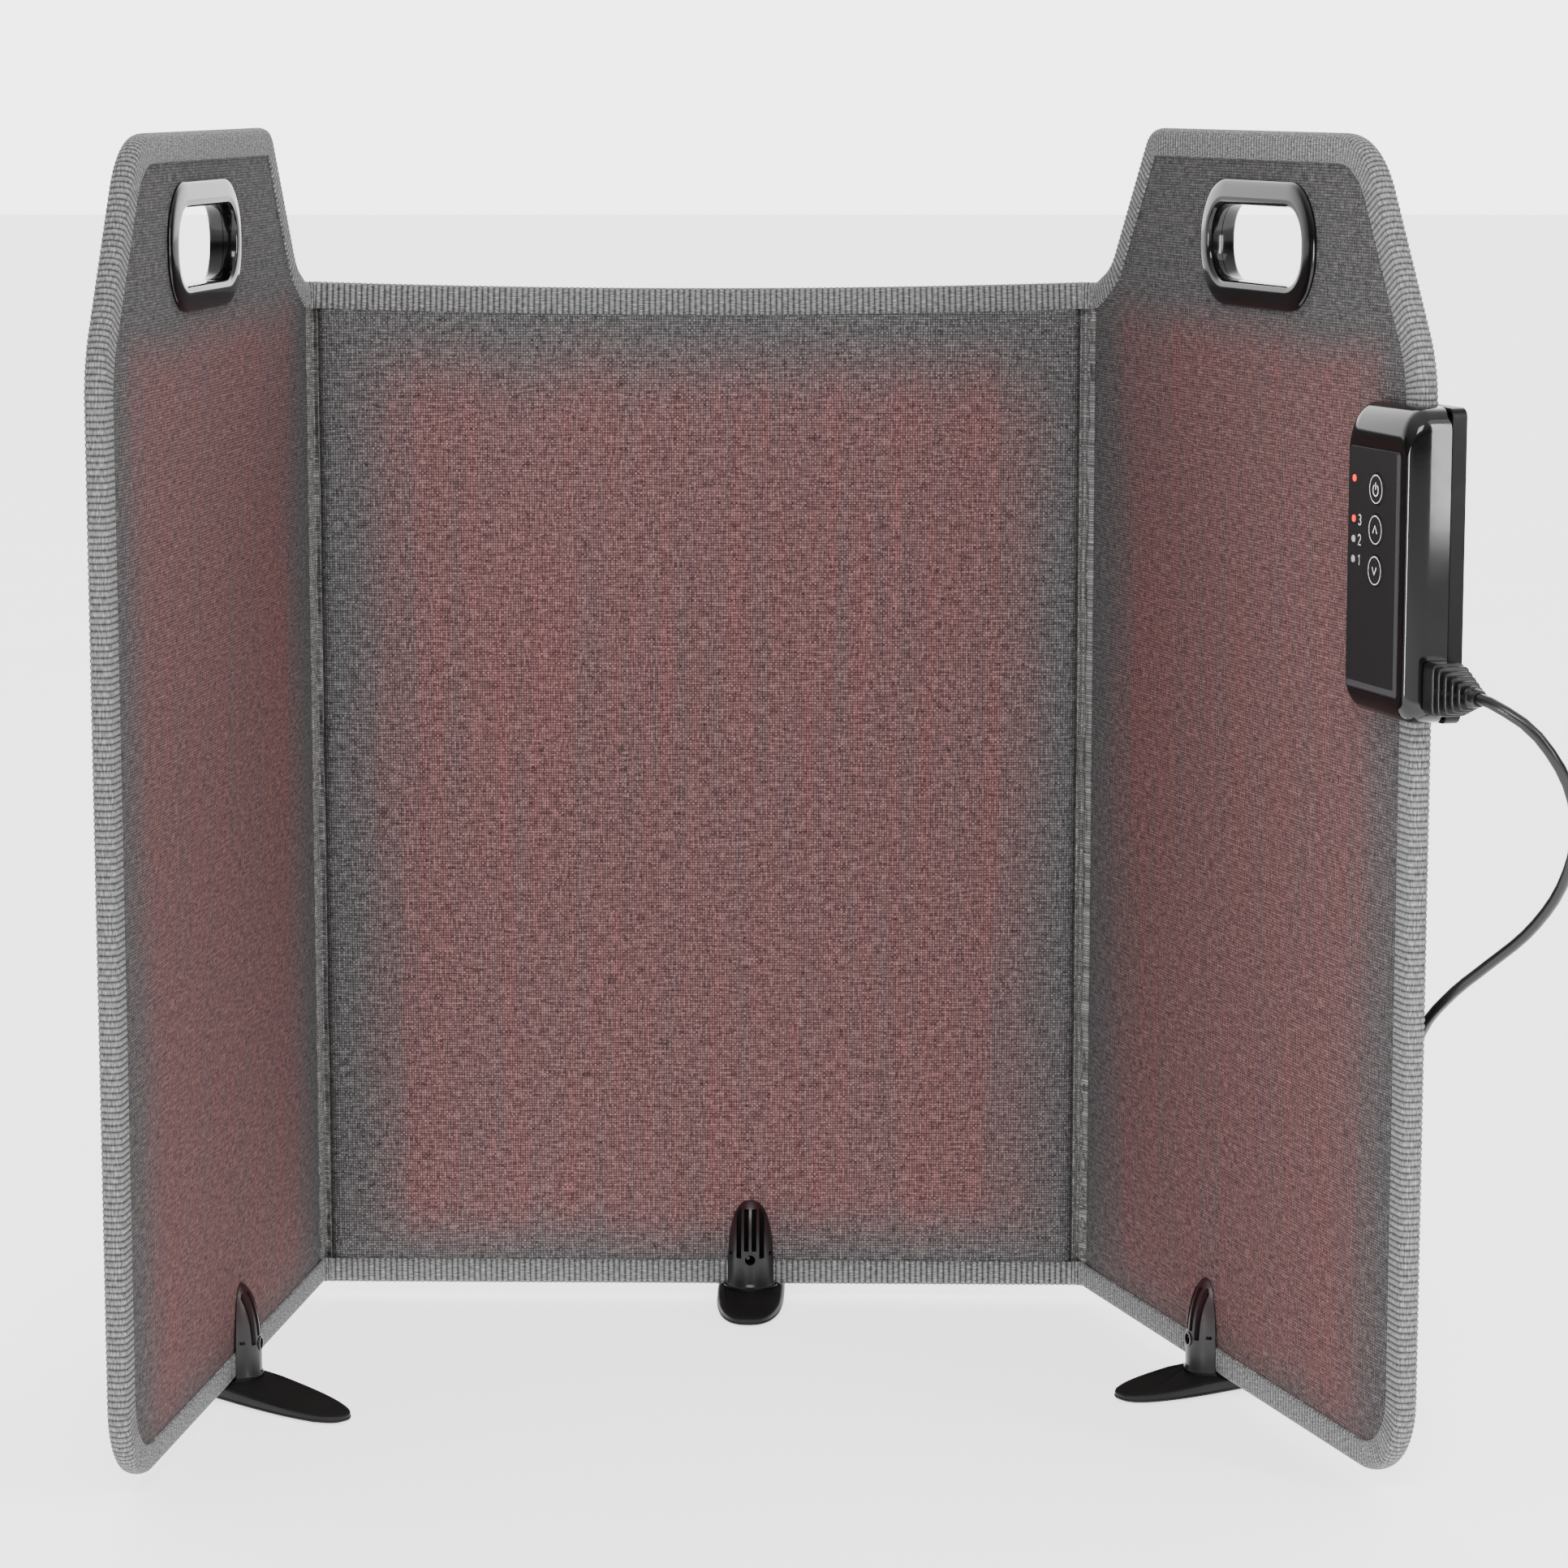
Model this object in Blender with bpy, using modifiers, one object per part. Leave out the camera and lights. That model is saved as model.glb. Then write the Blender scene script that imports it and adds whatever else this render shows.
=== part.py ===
# Folding three-panel radiant heater for the legs: fabric panels, fabric hinges, clip-on feet,
# carrying grommets, a moulded controller on the edge of the right wing, and its mains cord.
# Metres, +Z up. The heated faces look towards -Y, and the origin is under the middle of the base.
import math
import bpy
import bmesh
from mathutils import Matrix, Vector

# Panels
centre_width = 0.372
panel_height = 0.500
top_sag = 0.003
panel_lift = 0.008
hinge_reach = 0.007
wing_reach = 0.360
corner_radius = 0.038
shoulder_drop = 0.019
shoulder_height = panel_height - shoulder_drop
shoulder_radius = 0.057
tab_rise = 0.075
tab_height = panel_height + tab_rise
tab_outer_margin = 0.057
tab_outer_reach = wing_reach - tab_outer_margin
tab_outer_radius = 0.046
tab_inner_reach = 0.0735
tab_inner_radius = 0.017
tab_foot_reach = 0.028
tab_foot_rise = 0.009
tab_foot_height = panel_height + tab_foot_rise
tab_foot_radius = 0.0295
hinge_corner_radius = 0.002
left_fold_degrees = 6.8
right_fold_degrees = 19.9

# Layers of a panel, front to rear, and the tape bound round its edge
panel_thickness = 0.0098
tape_thickness = 0.0007
tape_band = 0.0125
tape_edge_round = 0.0015
gap = 0.0003
cover_thickness = 0.0015
film_thickness = 0.0004
felt_thickness = 0.0020
seam_lip = 0.0015
film_margin = 0.022
felt_margin = 0.0035
board_margin = 0.0055
strip_thickness = 0.0024
overrun = 0.004
arc_steps = 5
sag_steps = 8

# Carrying grommets
grip_offset = 0.00875
grip_reach = (tab_inner_reach + tab_outer_reach) / 2.0 + grip_offset
grip_drop = 0.0495
grip_height = tab_height - grip_drop
grip_opening_width = 0.098
grip_opening_height = 0.034
grip_opening_radius = 0.0155
grommet_wall = 0.0022
grommet_flange = 0.0113
grommet_crown = 0.0027
grommet_edge_share = 0.40
grommet_crown_shares = (0.25, 0.80)
grip_steps = 5

# Foot clips
left_clip_margin = 0.190
left_clip_reach = wing_reach - left_clip_margin
right_clip_margin = 0.201
right_clip_reach = wing_reach - right_clip_margin
centre_clip_offset = 0.025
clip_half_width = 0.0123
clip_half_depth = 0.0143
clip_top = 0.0445
clip_lip = 0.0006
clip_floor = 0.0018
slot_width = 0.0022
slot_pitch = 0.0040
slot_bottom = 0.0170
jaw_wall = 0.0038
peg_hole_radius = 0.0026
peg_height = 0.0160
peg_radius = 0.0009
disc_radius = 0.0144
pivot_radius = 0.0040
pivot_clear = 0.0012
round_segments = 28
clip_segments = 24
pad_segments = 16
key_segments = 20

# Feet
toe_length = 0.080
heel_length = 0.056
foot_half_width = 0.0168
foot_bluntness = 2.6
foot_ground_gap = 0.0008
foot_tip_drop = 0.0034
foot_round = 0.0016
foot_points = 28
pad_radius = 0.009
pad_thickness = 0.0016
pad_inset = 0.0155
left_foot_turn_degrees = -36.0
right_foot_turn_degrees = 194.0
centre_foot_turn_degrees = 180.0

# Controller
box_overhang = 0.021
box_outer_reach = wing_reach + box_overhang
box_width = 0.060
box_inner_reach = box_outer_reach - box_width
box_drop = 0.016
box_top = shoulder_height - box_drop
box_length = 0.131
box_bottom = box_top - box_length
box_front = 0.0190
box_wall = 0.0020
box_rear_wall = 0.0016
box_corner_radius = 0.010
box_rear_corner_radius = 0.004
box_side_round = 0.0036
box_top_slope = 0.0165
box_bottom_slope = 0.0090
box_round_depth = 0.0100
box_steps = 4
face_plate_thickness = 0.0006
face_recess = 0.0005
face_inner_margin = 0.0045
face_inner_reach = box_inner_reach + face_inner_margin
face_outer_margin = 0.0075
face_outer_reach = box_outer_reach - face_outer_margin
face_bottom_margin = 0.0105
face_bottom = box_bottom + face_bottom_margin
face_top_margin = 0.0185
face_top = box_top - face_top_margin
face_radius = 0.0020
key_inset = 0.029
key_reach = box_outer_reach - key_inset
key_radius = 0.0064
key_clear = 0.00035
key_travel = 0.00035
key_proud = 0.0007
key_flange = 0.0011
key_flange_thickness = 0.0010
key_stem_radius = 0.0018
power_key_drop = 0.035
power_key_height = box_top - power_key_drop
key_spacing = 0.017
lamp_inset = 0.0095
lamp_reach = box_inner_reach + lamp_inset
lamp_radius = 0.0015
lamp_clear = 0.0003
lamp_proud = 0.0002
lamp_segments = 12
lamp_lift = 0.003
lamp_row_shares = {"power": 0.0, "high": 0.5, "medium": 0.75, "low": 1.0}
board_thickness = 0.0016
board_depth = 0.0090
board_clear = 0.0020
boss_radius = 0.0025
boss_inset = 0.0075
switch_side = 0.0060
switch_body = 0.0026
switch_button = 0.0008
switch_button_radius = 0.0017

# Strain relief
relief_rise = 0.016
relief_height = box_bottom + relief_rise
relief_depth = 0.0040
relief_root_length = 0.0095
relief_length = 0.0370
relief_half_height = 0.0110
relief_half_depth = 0.0075
relief_end_radius = 0.0039
relief_neck = 0.0040
relief_groove = 0.0012
relief_ribs = 5
relief_points = 16

# Mains cord, its coiled remainder and its plug
cord_diameter = 0.0049
cord_swing = 0.040
coil_side = 0.107
coil_ahead = 0.015
coil_centre = (centre_width / 2.0 + hinge_reach + coil_side, -coil_ahead)
coil_radius = 0.038
coil_turns = 6
coil_air = 0.0006
coil_points = 24
tail_length = 0.012
plug_tail_length = 0.028
plug_length = 0.034
plug_width = 0.023
plug_depth = 0.017
plug_round = 0.003
blade_width = 0.0065
blade_thickness = 0.0015
blade_length = 0.0160
blade_spacing = 0.0127
plug_taper_shares = (0.4, 0.6)
cord_step = 0.012

# The free stretch of cord, from the strain relief to the coil: how far it swings out to the
# side, how far it has come along its run, and how high it is, each as a share
cord_route_shares = (
    (0.462, -0.034, 0.972), (0.762, -0.035, 0.930), (0.935, -0.019, 0.888),
    (1.006, 0.004, 0.846), (0.990, 0.030, 0.8045), (0.872, 0.0625, 0.757),
    (0.629, 0.098, 0.7095), (0.286, 0.136, 0.666), (-0.041, 0.177, 0.623),
    (-0.298, 0.2255, 0.570), (-0.424, 0.280, 0.489), (-0.446, 0.3395, 0.3715),
    (-0.381, 0.402, 0.2374), (-0.240, 0.465, 0.1173), (-0.077, 0.5325, 0.039),
    (0.017, 0.606, 0.0), (0.038, 0.693, 0.0), (0.026, 0.802, 0.0), (0.014, 0.910, 0.0),
)

for old in list(bpy.data.objects):
    bpy.data.objects.remove(old, do_unlink=True)

parts = bpy.data.collections.new("under_desk_heater_panel")
bpy.context.scene.collection.children.link(parts)
cutters = bpy.data.collections.new("cutters")
bpy.context.scene.collection.children.link(cutters)


def material(name, colour, roughness, metallic=0.0):
    """A plain surface of one colour."""
    made = bpy.data.materials.new(name)
    made.use_nodes = True
    shader = made.node_tree.nodes["Principled BSDF"]
    shader.inputs["Base Color"].default_value = (*colour, 1.0)
    shader.inputs["Roughness"].default_value = roughness
    shader.inputs["Metallic"].default_value = metallic
    made.diffuse_color = (*colour, 1.0)
    return made


melange = material("grey_melange_fabric", (0.20, 0.20, 0.21), 0.95)
webbing = material("ribbed_grey_webbing", (0.27, 0.27, 0.28), 0.9)
felt_grey = material("grey_felt", (0.35, 0.35, 0.34), 1.0)
film_amber = material("heating_film", (0.30, 0.12, 0.03), 0.4)
board_white = material("fibre_board", (0.62, 0.58, 0.50), 0.8)
gloss_black = material("gloss_black_plastic", (0.010, 0.010, 0.011), 0.12)
satin_black = material("satin_black_plastic", (0.022, 0.022, 0.024), 0.35)
matt_black = material("matt_black_plastic", (0.012, 0.012, 0.012), 0.6)
rubber_black = material("black_rubber", (0.015, 0.015, 0.015), 0.8)
face_black = material("printed_face_plate", (0.016, 0.016, 0.016), 0.45)
lamp_red = material("red_lamp_lens", (0.70, 0.01, 0.01), 0.3)
lamp_clear_grey = material("clear_lamp_lens", (0.45, 0.45, 0.45), 0.3)
board_green = material("circuit_board_green", (0.02, 0.16, 0.06), 0.5)
switch_grey = material("switch_plastic", (0.10, 0.10, 0.10), 0.5)
nickel = material("nickel_plate", (0.65, 0.63, 0.58), 0.25, 1.0)


def empty(name, parent, location, turn):
    """A frame: an empty that carries what is fixed to it."""
    made = bpy.data.objects.new(name, None)
    made.empty_display_type = "ARROWS"
    made.parent = parent
    made.location = location
    made.rotation_euler = (0.0, 0.0, turn)
    parts.objects.link(made)
    return made


def place(name, mesh, surface, parent, location=(0.0, 0.0, 0.0), turn=0.0, soft_angle=35.0):
    """One piece of the object, shaded smooth where its faces bend gently."""
    made = bpy.data.objects.new(name, mesh)
    mesh.name = name
    mesh.materials.clear()
    mesh.materials.append(surface)
    mesh.shade_smooth()
    mesh.set_sharp_from_angle(angle=math.radians(soft_angle))
    made.parent = parent
    made.location = location
    made.rotation_euler = (0.0, 0.0, turn)
    parts.objects.link(made)
    return made


def boolean(target, mesh, operation="DIFFERENCE"):
    """Cut a tool shape out of a piece, or join it on, in the piece's own frame."""
    tool = bpy.data.objects.new(target.name + "_tool", mesh)
    cutters.objects.link(tool)
    tool.parent = target
    tool.hide_render = True
    tool.display_type = "WIRE"
    step = target.modifiers.new("shape", "BOOLEAN")
    step.operation = operation
    step.solver = "EXACT"
    step.object = tool
    return step


def mesh_of(tool):
    """The evaluated mesh of a helper object, welded, with the helper removed."""
    bpy.context.view_layer.update()
    graph = bpy.context.evaluated_depsgraph_get()
    made = bpy.data.meshes.new_from_object(tool.evaluated_get(graph))
    shape = bmesh.new()
    shape.from_mesh(made)
    bmesh.ops.remove_doubles(shape, verts=shape.verts, dist=gap * 0.01)
    bmesh.ops.recalc_face_normals(shape, faces=shape.faces)
    shape.to_mesh(made)
    shape.free()
    bpy.data.objects.remove(tool, do_unlink=True)
    return made


def rounded(corners, steps):
    """The points of an outline whose corners, each (x, z, radius), are turned as arcs."""
    points = []
    count = len(corners)
    for index in range(count):
        here = Vector(corners[index][:2])
        radius = corners[index][2]
        back = (Vector(corners[index - 1][:2]) - here).normalized()
        ahead = (Vector(corners[(index + 1) % count][:2]) - here).normalized()
        half = back.angle(ahead) / 2.0
        reach = radius / math.tan(half)
        middle = here + (back + ahead).normalized() * (radius / math.sin(half))
        first = here + back * reach - middle
        last = here + ahead * reach - middle
        sweep = math.atan2(first.x * last.y - first.y * last.x, first.dot(last))
        for step in range(steps + 1):
            turn = Matrix.Rotation(sweep * step / steps, 2)
            points.append(middle + turn @ first)
    return points


def inset(corners, distances):
    """The outline moved inwards, each side by its own distance; side i starts at corner i."""
    count = len(corners)
    moved = []
    lines = []
    for index in range(count):
        start = Vector(corners[index][:2])
        along = (Vector(corners[(index + 1) % count][:2]) - start).normalized()
        inward = Vector((-along.y, along.x))
        lines.append((start + inward * distances[index], along))
    for index in range(count):
        point_a, along_a = lines[index - 1]
        point_b, along_b = lines[index]
        cross = along_a.x * along_b.y - along_a.y * along_b.x
        offset = point_b - point_a
        run = (offset.x * along_b.y - offset.y * along_b.x) / cross
        corner = point_a + along_a * run
        change = (distances[index - 1] + distances[index]) / 2.0
        radius = corners[index][2]
        radius = max(radius - change, gap) if cross > 0.0 else radius + change
        moved.append((corner.x, corner.y, radius))
    return moved


def flat(loops, depth_from, depth_to):
    """A plate from closed outlines in x and z, holes included, between two depths along y."""
    sheet = bpy.data.curves.new("sheet", "CURVE")
    sheet.dimensions = "2D"
    sheet.fill_mode = "BOTH"
    sheet.extrude = (depth_to - depth_from) / 2.0
    for loop in loops:
        spline = sheet.splines.new("POLY")
        spline.points.add(len(loop) - 1)
        for point, place_at in zip(spline.points, loop):
            point.co = (place_at[0], place_at[1], 0.0, 1.0)
        spline.use_cyclic_u = True
    tool = bpy.data.objects.new("sheet", sheet)
    parts.objects.link(tool)
    made = mesh_of(tool)
    stand = Matrix.Translation((0.0, (depth_from + depth_to) / 2.0, 0.0))
    made.transform(stand @ Matrix.Rotation(math.pi / 2.0, 4, "X"))
    return made


def upright(loops, height_from, height_to):
    """A plate from closed outlines in x and y, between two heights."""
    made = flat(loops, -(height_to - height_from) / 2.0, (height_to - height_from) / 2.0)
    lift = Matrix.Translation((0.0, 0.0, (height_from + height_to) / 2.0))
    made.transform(lift @ Matrix.Rotation(-math.pi / 2.0, 4, "X"))
    return made


def block(low, high):
    """A box between two corners."""
    shape = bmesh.new()
    bmesh.ops.create_cube(shape, size=1.0)
    span = Vector(high) - Vector(low)
    middle = (Vector(high) + Vector(low)) / 2.0
    bmesh.ops.scale(shape, vec=span, verts=shape.verts)
    bmesh.ops.translate(shape, vec=middle, verts=shape.verts)
    made = bpy.data.meshes.new("block")
    shape.to_mesh(made)
    shape.free()
    return made


def drum(radius, low, high, axis, at, segments=round_segments):
    """A cylinder along y or z between two places on its axis."""
    shape = bmesh.new()
    bmesh.ops.create_cone(shape, cap_ends=True, segments=segments, radius1=radius,
                          radius2=radius, depth=high - low)
    bmesh.ops.translate(shape, vec=(0.0, 0.0, (low + high) / 2.0), verts=shape.verts)
    if axis == "Y":
        bmesh.ops.rotate(shape, matrix=Matrix.Rotation(-math.pi / 2.0, 3, "X"),
                         verts=shape.verts)
    bmesh.ops.translate(shape, vec=at, verts=shape.verts)
    made = bpy.data.meshes.new("drum")
    shape.to_mesh(made)
    shape.free()
    return made


def together(meshes):
    """Several separate tool shapes in one mesh."""
    shape = bmesh.new()
    for mesh in meshes:
        shape.from_mesh(mesh)
    made = bpy.data.meshes.new("tools")
    shape.to_mesh(made)
    shape.free()
    return made


def turned(profile, segments):
    """A turned solid: its profile, radius and height, from the top down its outer side."""
    line = bpy.data.meshes.new("profile")
    line.from_pydata([(radius, 0.0, height) for radius, height in profile],
                     [(index, index + 1) for index in range(len(profile) - 1)], [])
    tool = bpy.data.objects.new("profile", line)
    parts.objects.link(tool)
    screw = tool.modifiers.new("turn", "SCREW")
    screw.steps = segments
    screw.render_steps = segments
    screw.use_merge_vertices = True
    screw.merge_threshold = gap * 0.01
    return mesh_of(tool)


def loft(sections):
    """A closed solid through sections that have the same number of points."""
    shape = bmesh.new()
    rings = []
    for section in sections:
        rings.append([shape.verts.new(point) for point in section])
    count = len(sections[0])
    for lower, upper in zip(rings, rings[1:]):
        for index in range(count):
            after = (index + 1) % count
            shape.faces.new((lower[index], lower[after], upper[after], upper[index]))
    shape.faces.new(rings[0])
    shape.faces.new(rings[-1])
    bmesh.ops.recalc_face_normals(shape, faces=shape.faces)
    made = bpy.data.meshes.new("loft")
    shape.to_mesh(made)
    shape.free()
    return made


# Values that follow from the sizes above
half_thickness = panel_thickness / 2.0
face_depth = half_thickness - tape_thickness - gap
edge_inset = tape_thickness + gap
axis_offset = centre_width / 2.0 + hinge_reach
left_fold = math.radians(left_fold_degrees)
right_fold = math.radians(right_fold_degrees)
foot_top = -gap
foot_bottom = foot_ground_gap - panel_lift
grommet_seat = grommet_wall + gap

base = empty("base", None, (0.0, 0.0, 0.0), 0.0)
centre_frame = empty("centre_panel", base, (0.0, 0.0, panel_lift), math.pi)
left_frame = empty("wing_left", base, (-axis_offset, 0.0, panel_lift),
                   -math.pi / 2.0 - left_fold)
right_frame = empty("wing_right", base, (axis_offset, 0.0, panel_lift),
                    math.pi / 2.0 + right_fold)

wing_corners = [
    (hinge_reach, 0.0, hinge_corner_radius),
    (wing_reach, 0.0, corner_radius),
    (wing_reach, shoulder_height, shoulder_radius),
    (tab_outer_reach, tab_height, tab_outer_radius),
    (tab_inner_reach, tab_height, tab_inner_radius),
    (tab_foot_reach, tab_foot_height, tab_foot_radius),
    (hinge_reach, panel_height, hinge_corner_radius),
]


def wing_outline(margin, hinge_margin, flip):
    """The wing's outline moved in by a margin, and by another at the hinge side."""
    distances = [margin] * (len(wing_corners) - 1) + [hinge_margin]
    points = rounded(inset(wing_corners, distances), arc_steps)
    return [(point.x * flip, point.y) for point in points]


def body_outline(margin, hinge_margin, flip):
    """The wing below its tab, for what doesn't reach up into the tab."""
    top = tab_foot_height - margin
    low = hinge_reach + hinge_margin
    high = wing_reach - margin
    radius = max(corner_radius - margin, gap)
    small = corner_radius / 4.0
    corners = [(low, margin, small), (high, margin, radius),
               (high, top - corner_radius, radius), (low, top - corner_radius, small)]
    return [(point.x * flip, point.y) for point in rounded(corners, arc_steps)]


def grip_outline(growth, flip):
    """The hand hole's outline, grown outwards."""
    half_width = grip_opening_width / 2.0 + growth
    half_height = grip_opening_height / 2.0 + growth
    radius = grip_opening_radius + growth
    corners = [
        (grip_reach - half_width, grip_height - half_height, radius),
        (grip_reach + half_width, grip_height - half_height, radius),
        (grip_reach + half_width, grip_height + half_height, radius),
        (grip_reach - half_width, grip_height + half_height, radius),
    ]
    return [(point.x * flip, point.y) for point in rounded(corners, grip_steps)]


def sagging(low, high, bottom, top, reach):
    """A panel outline with its top edge sagging a little between the two hinges."""
    points = [(low, bottom), (high, bottom)]
    for step in range(sag_steps + 1):
        x = high + (low - high) * step / sag_steps
        sag = top_sag * (1.0 - (x / reach) ** 2)
        points.append((x, top - sag))
    return points


def layers():
    """Depths of the layers from the front face to the rear face."""
    depth = face_depth
    found = {}
    for name, thickness in (("front", cover_thickness), ("film", film_thickness),
                            ("felt", felt_thickness)):
        found[name] = (depth - thickness, depth)
        depth = depth - thickness - gap
    found["rear"] = (-face_depth, -face_depth + cover_thickness)
    found["board"] = (found["rear"][1] + gap, depth)
    return found


depths = layers()


def front_cover(name, outlines, parent, lips):
    """The heated face's cover, with a sewn lip that closes each hinge side."""
    cover = place(name, flat(outlines, *depths["front"]), melange, parent)
    for low, high, bottom, top in lips:
        lip = block((low, depths["rear"][1] + gap, bottom), (high, depths["front"][1], top))
        boolean(cover, lip, "UNION")
    return cover


def centre_layers():
    """The centre panel's covers, film, felt and board."""
    half = centre_width / 2.0
    outline = sagging(-half, half, edge_inset, panel_height - edge_inset, half)
    lip_top = panel_height - edge_inset - gap
    lips = [(-half, -half + seam_lip, edge_inset, lip_top),
            (half - seam_lip, half, edge_inset, lip_top)]
    front_cover("centre_front_cover", [outline], centre_frame, lips)
    place("centre_rear_cover", flat([outline], *depths["rear"]), melange, centre_frame)
    for name, key, margin, surface in (
            ("centre_heating_film", "film", film_margin, film_amber),
            ("centre_felt_pad", "felt", felt_margin, felt_grey),
            ("centre_stiffener", "board", board_margin, board_white)):
        low = half - seam_lip - margin
        inner = sagging(-low, low, edge_inset + margin, panel_height - edge_inset - margin, half)
        place(name, flat([inner], *depths[key]), surface, centre_frame)


def wing_layers(side, frame, flip):
    """A wing's covers, film, felt and board; the felt and board reach into the tab."""
    cover = wing_outline(edge_inset, 0.0, flip)
    hole = grip_outline(grommet_seat, flip)
    low, high = sorted((hinge_reach * flip, (hinge_reach + seam_lip) * flip))
    lips = [(low, high, edge_inset + hinge_corner_radius,
             panel_height - edge_inset - hinge_corner_radius)]
    front_cover(side + "_front_cover", [cover, hole], frame, lips)
    place(side + "_rear_cover", flat([cover, hole], *depths["rear"]), melange, frame)
    film = body_outline(film_margin, seam_lip + film_margin, flip)
    place(side + "_heating_film", flat([film], *depths["film"]), film_amber, frame)
    for name, key, margin, surface in (
            ("_felt_pad", "felt", felt_margin, felt_grey),
            ("_stiffener", "board", board_margin, board_white)):
        outline = wing_outline(edge_inset + margin, seam_lip + margin, flip)
        place(side + name, flat([outline, grip_outline(grommet_seat + gap, flip)],
                                *depths[key]), surface, frame)


def wing_binding(side, frame, flip):
    """The tape folded over a wing's edge: a channel that is open inwards and at the hinge."""
    slab = flat([wing_outline(0.0, 0.0, flip)], -half_thickness, half_thickness)
    binding = place(side + "_binding", slab, webbing, frame)
    soften = binding.modifiers.new("rounded_fold", "BEVEL")
    soften.width = tape_edge_round
    soften.segments = 1
    soften.angle_limit = math.radians(60.0)
    channel_half = half_thickness - tape_thickness
    channel = wing_outline(tape_thickness, -overrun, flip)
    boolean(binding, flat([channel], -channel_half, channel_half))
    window = wing_outline(tape_band, -overrun, flip)
    deep = half_thickness + overrun
    boolean(binding, flat([window], -deep, deep))


def centre_binding(name, at_top):
    """The tape over the centre panel's top or bottom edge."""
    half = centre_width / 2.0
    wide = half + overrun
    if at_top:
        outer = sagging(-half, half, panel_height - tape_band - top_sag, panel_height, half)
        inner = sagging(-wide, wide, panel_height - tape_band - top_sag - overrun,
                        panel_height - tape_thickness, half)
    else:
        inner = [(-wide, tape_thickness), (wide, tape_thickness),
                 (wide, tape_band + overrun), (-wide, tape_band + overrun)]
        outer = [(-half, 0.0), (half, 0.0), (half, tape_band), (-half, tape_band)]
    binding = place(name, flat([outer], -half_thickness, half_thickness), webbing, centre_frame)
    soften = binding.modifiers.new("rounded_fold", "BEVEL")
    soften.width = tape_edge_round
    soften.segments = 2
    soften.angle_limit = math.radians(60.0)
    channel_half = half_thickness - tape_thickness
    boolean(binding, flat([inner], -channel_half, channel_half))


def hinge_strip(name, x, fold, side):
    """The sewn strip between two panels: a band that leaves each panel straight and bends."""
    reach = hinge_reach - gap
    start = Vector((-side * reach, 0.0))
    end = Vector((side * math.sin(fold), -math.cos(fold))) * reach
    outer = []
    inner = []
    steps = arc_steps
    for step in range(steps + 1):
        t = step / steps
        at = start * (1.0 - t) ** 2 + end * t ** 2
        along = (end * t - start * (1.0 - t)).normalized()
        away = Vector((-along.y, along.x)) * (strip_thickness / 2.0)
        outer.append(at + away)
        inner.append(at - away)
    loop = [(point.x, point.y) for point in outer + inner[::-1]]
    place(name, upright([loop], 0.0, panel_height), melange, base, (x, 0.0, panel_lift))


def grommet(side, frame, flip):
    """The two halves of the carrying grommet, joined inside the tab."""
    flange_out = grommet_flange
    crown = face_depth + gap + grommet_crown
    seat = face_depth + gap
    edge = seat + grommet_crown * grommet_edge_share
    near, far = (flange_out * share for share in grommet_crown_shares)
    profile = [
        (0.0, gap / 2.0), (grommet_wall, gap / 2.0), (grommet_wall, seat), (flange_out, seat),
        (flange_out, edge), (far, crown), (near, crown), (0.0, edge),
    ]
    path = grip_outline(0.0, flip)
    for name, facing in (("_grommet_front", 1.0), ("_grommet_rear", -1.0)):
        ring = ring_around(path, profile, facing)
        place(side + name, ring, gloss_black, frame)


def ring_around(path, profile, facing):
    """A ring whose section is set square to a closed outline at each of its points."""
    count = len(path)
    clockwise = 0.0
    for index in range(count):
        here = path[index]
        after = path[(index + 1) % count]
        clockwise += here[0] * after[1] - after[0] * here[1]
    sign = 1.0 if clockwise > 0.0 else -1.0
    shape = bmesh.new()
    rings = []
    for index in range(count):
        here = Vector(path[index])
        along = (Vector(path[(index + 1) % count]) - Vector(path[index - 1])).normalized()
        outward = Vector((along.y, -along.x)) * sign
        ring = []
        for out, depth in profile:
            at = here + outward * out
            ring.append(shape.verts.new((at.x, depth * facing, at.y)))
        rings.append(ring)
    around = len(profile)
    for index in range(count):
        this, following = rings[index], rings[(index + 1) % count]
        for step in range(around):
            after = (step + 1) % around
            shape.faces.new((this[step], this[after], following[after], following[step]))
    bmesh.ops.recalc_face_normals(shape, faces=shape.faces)
    made = bpy.data.meshes.new("ring")
    shape.to_mesh(made)
    shape.free()
    return made


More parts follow.
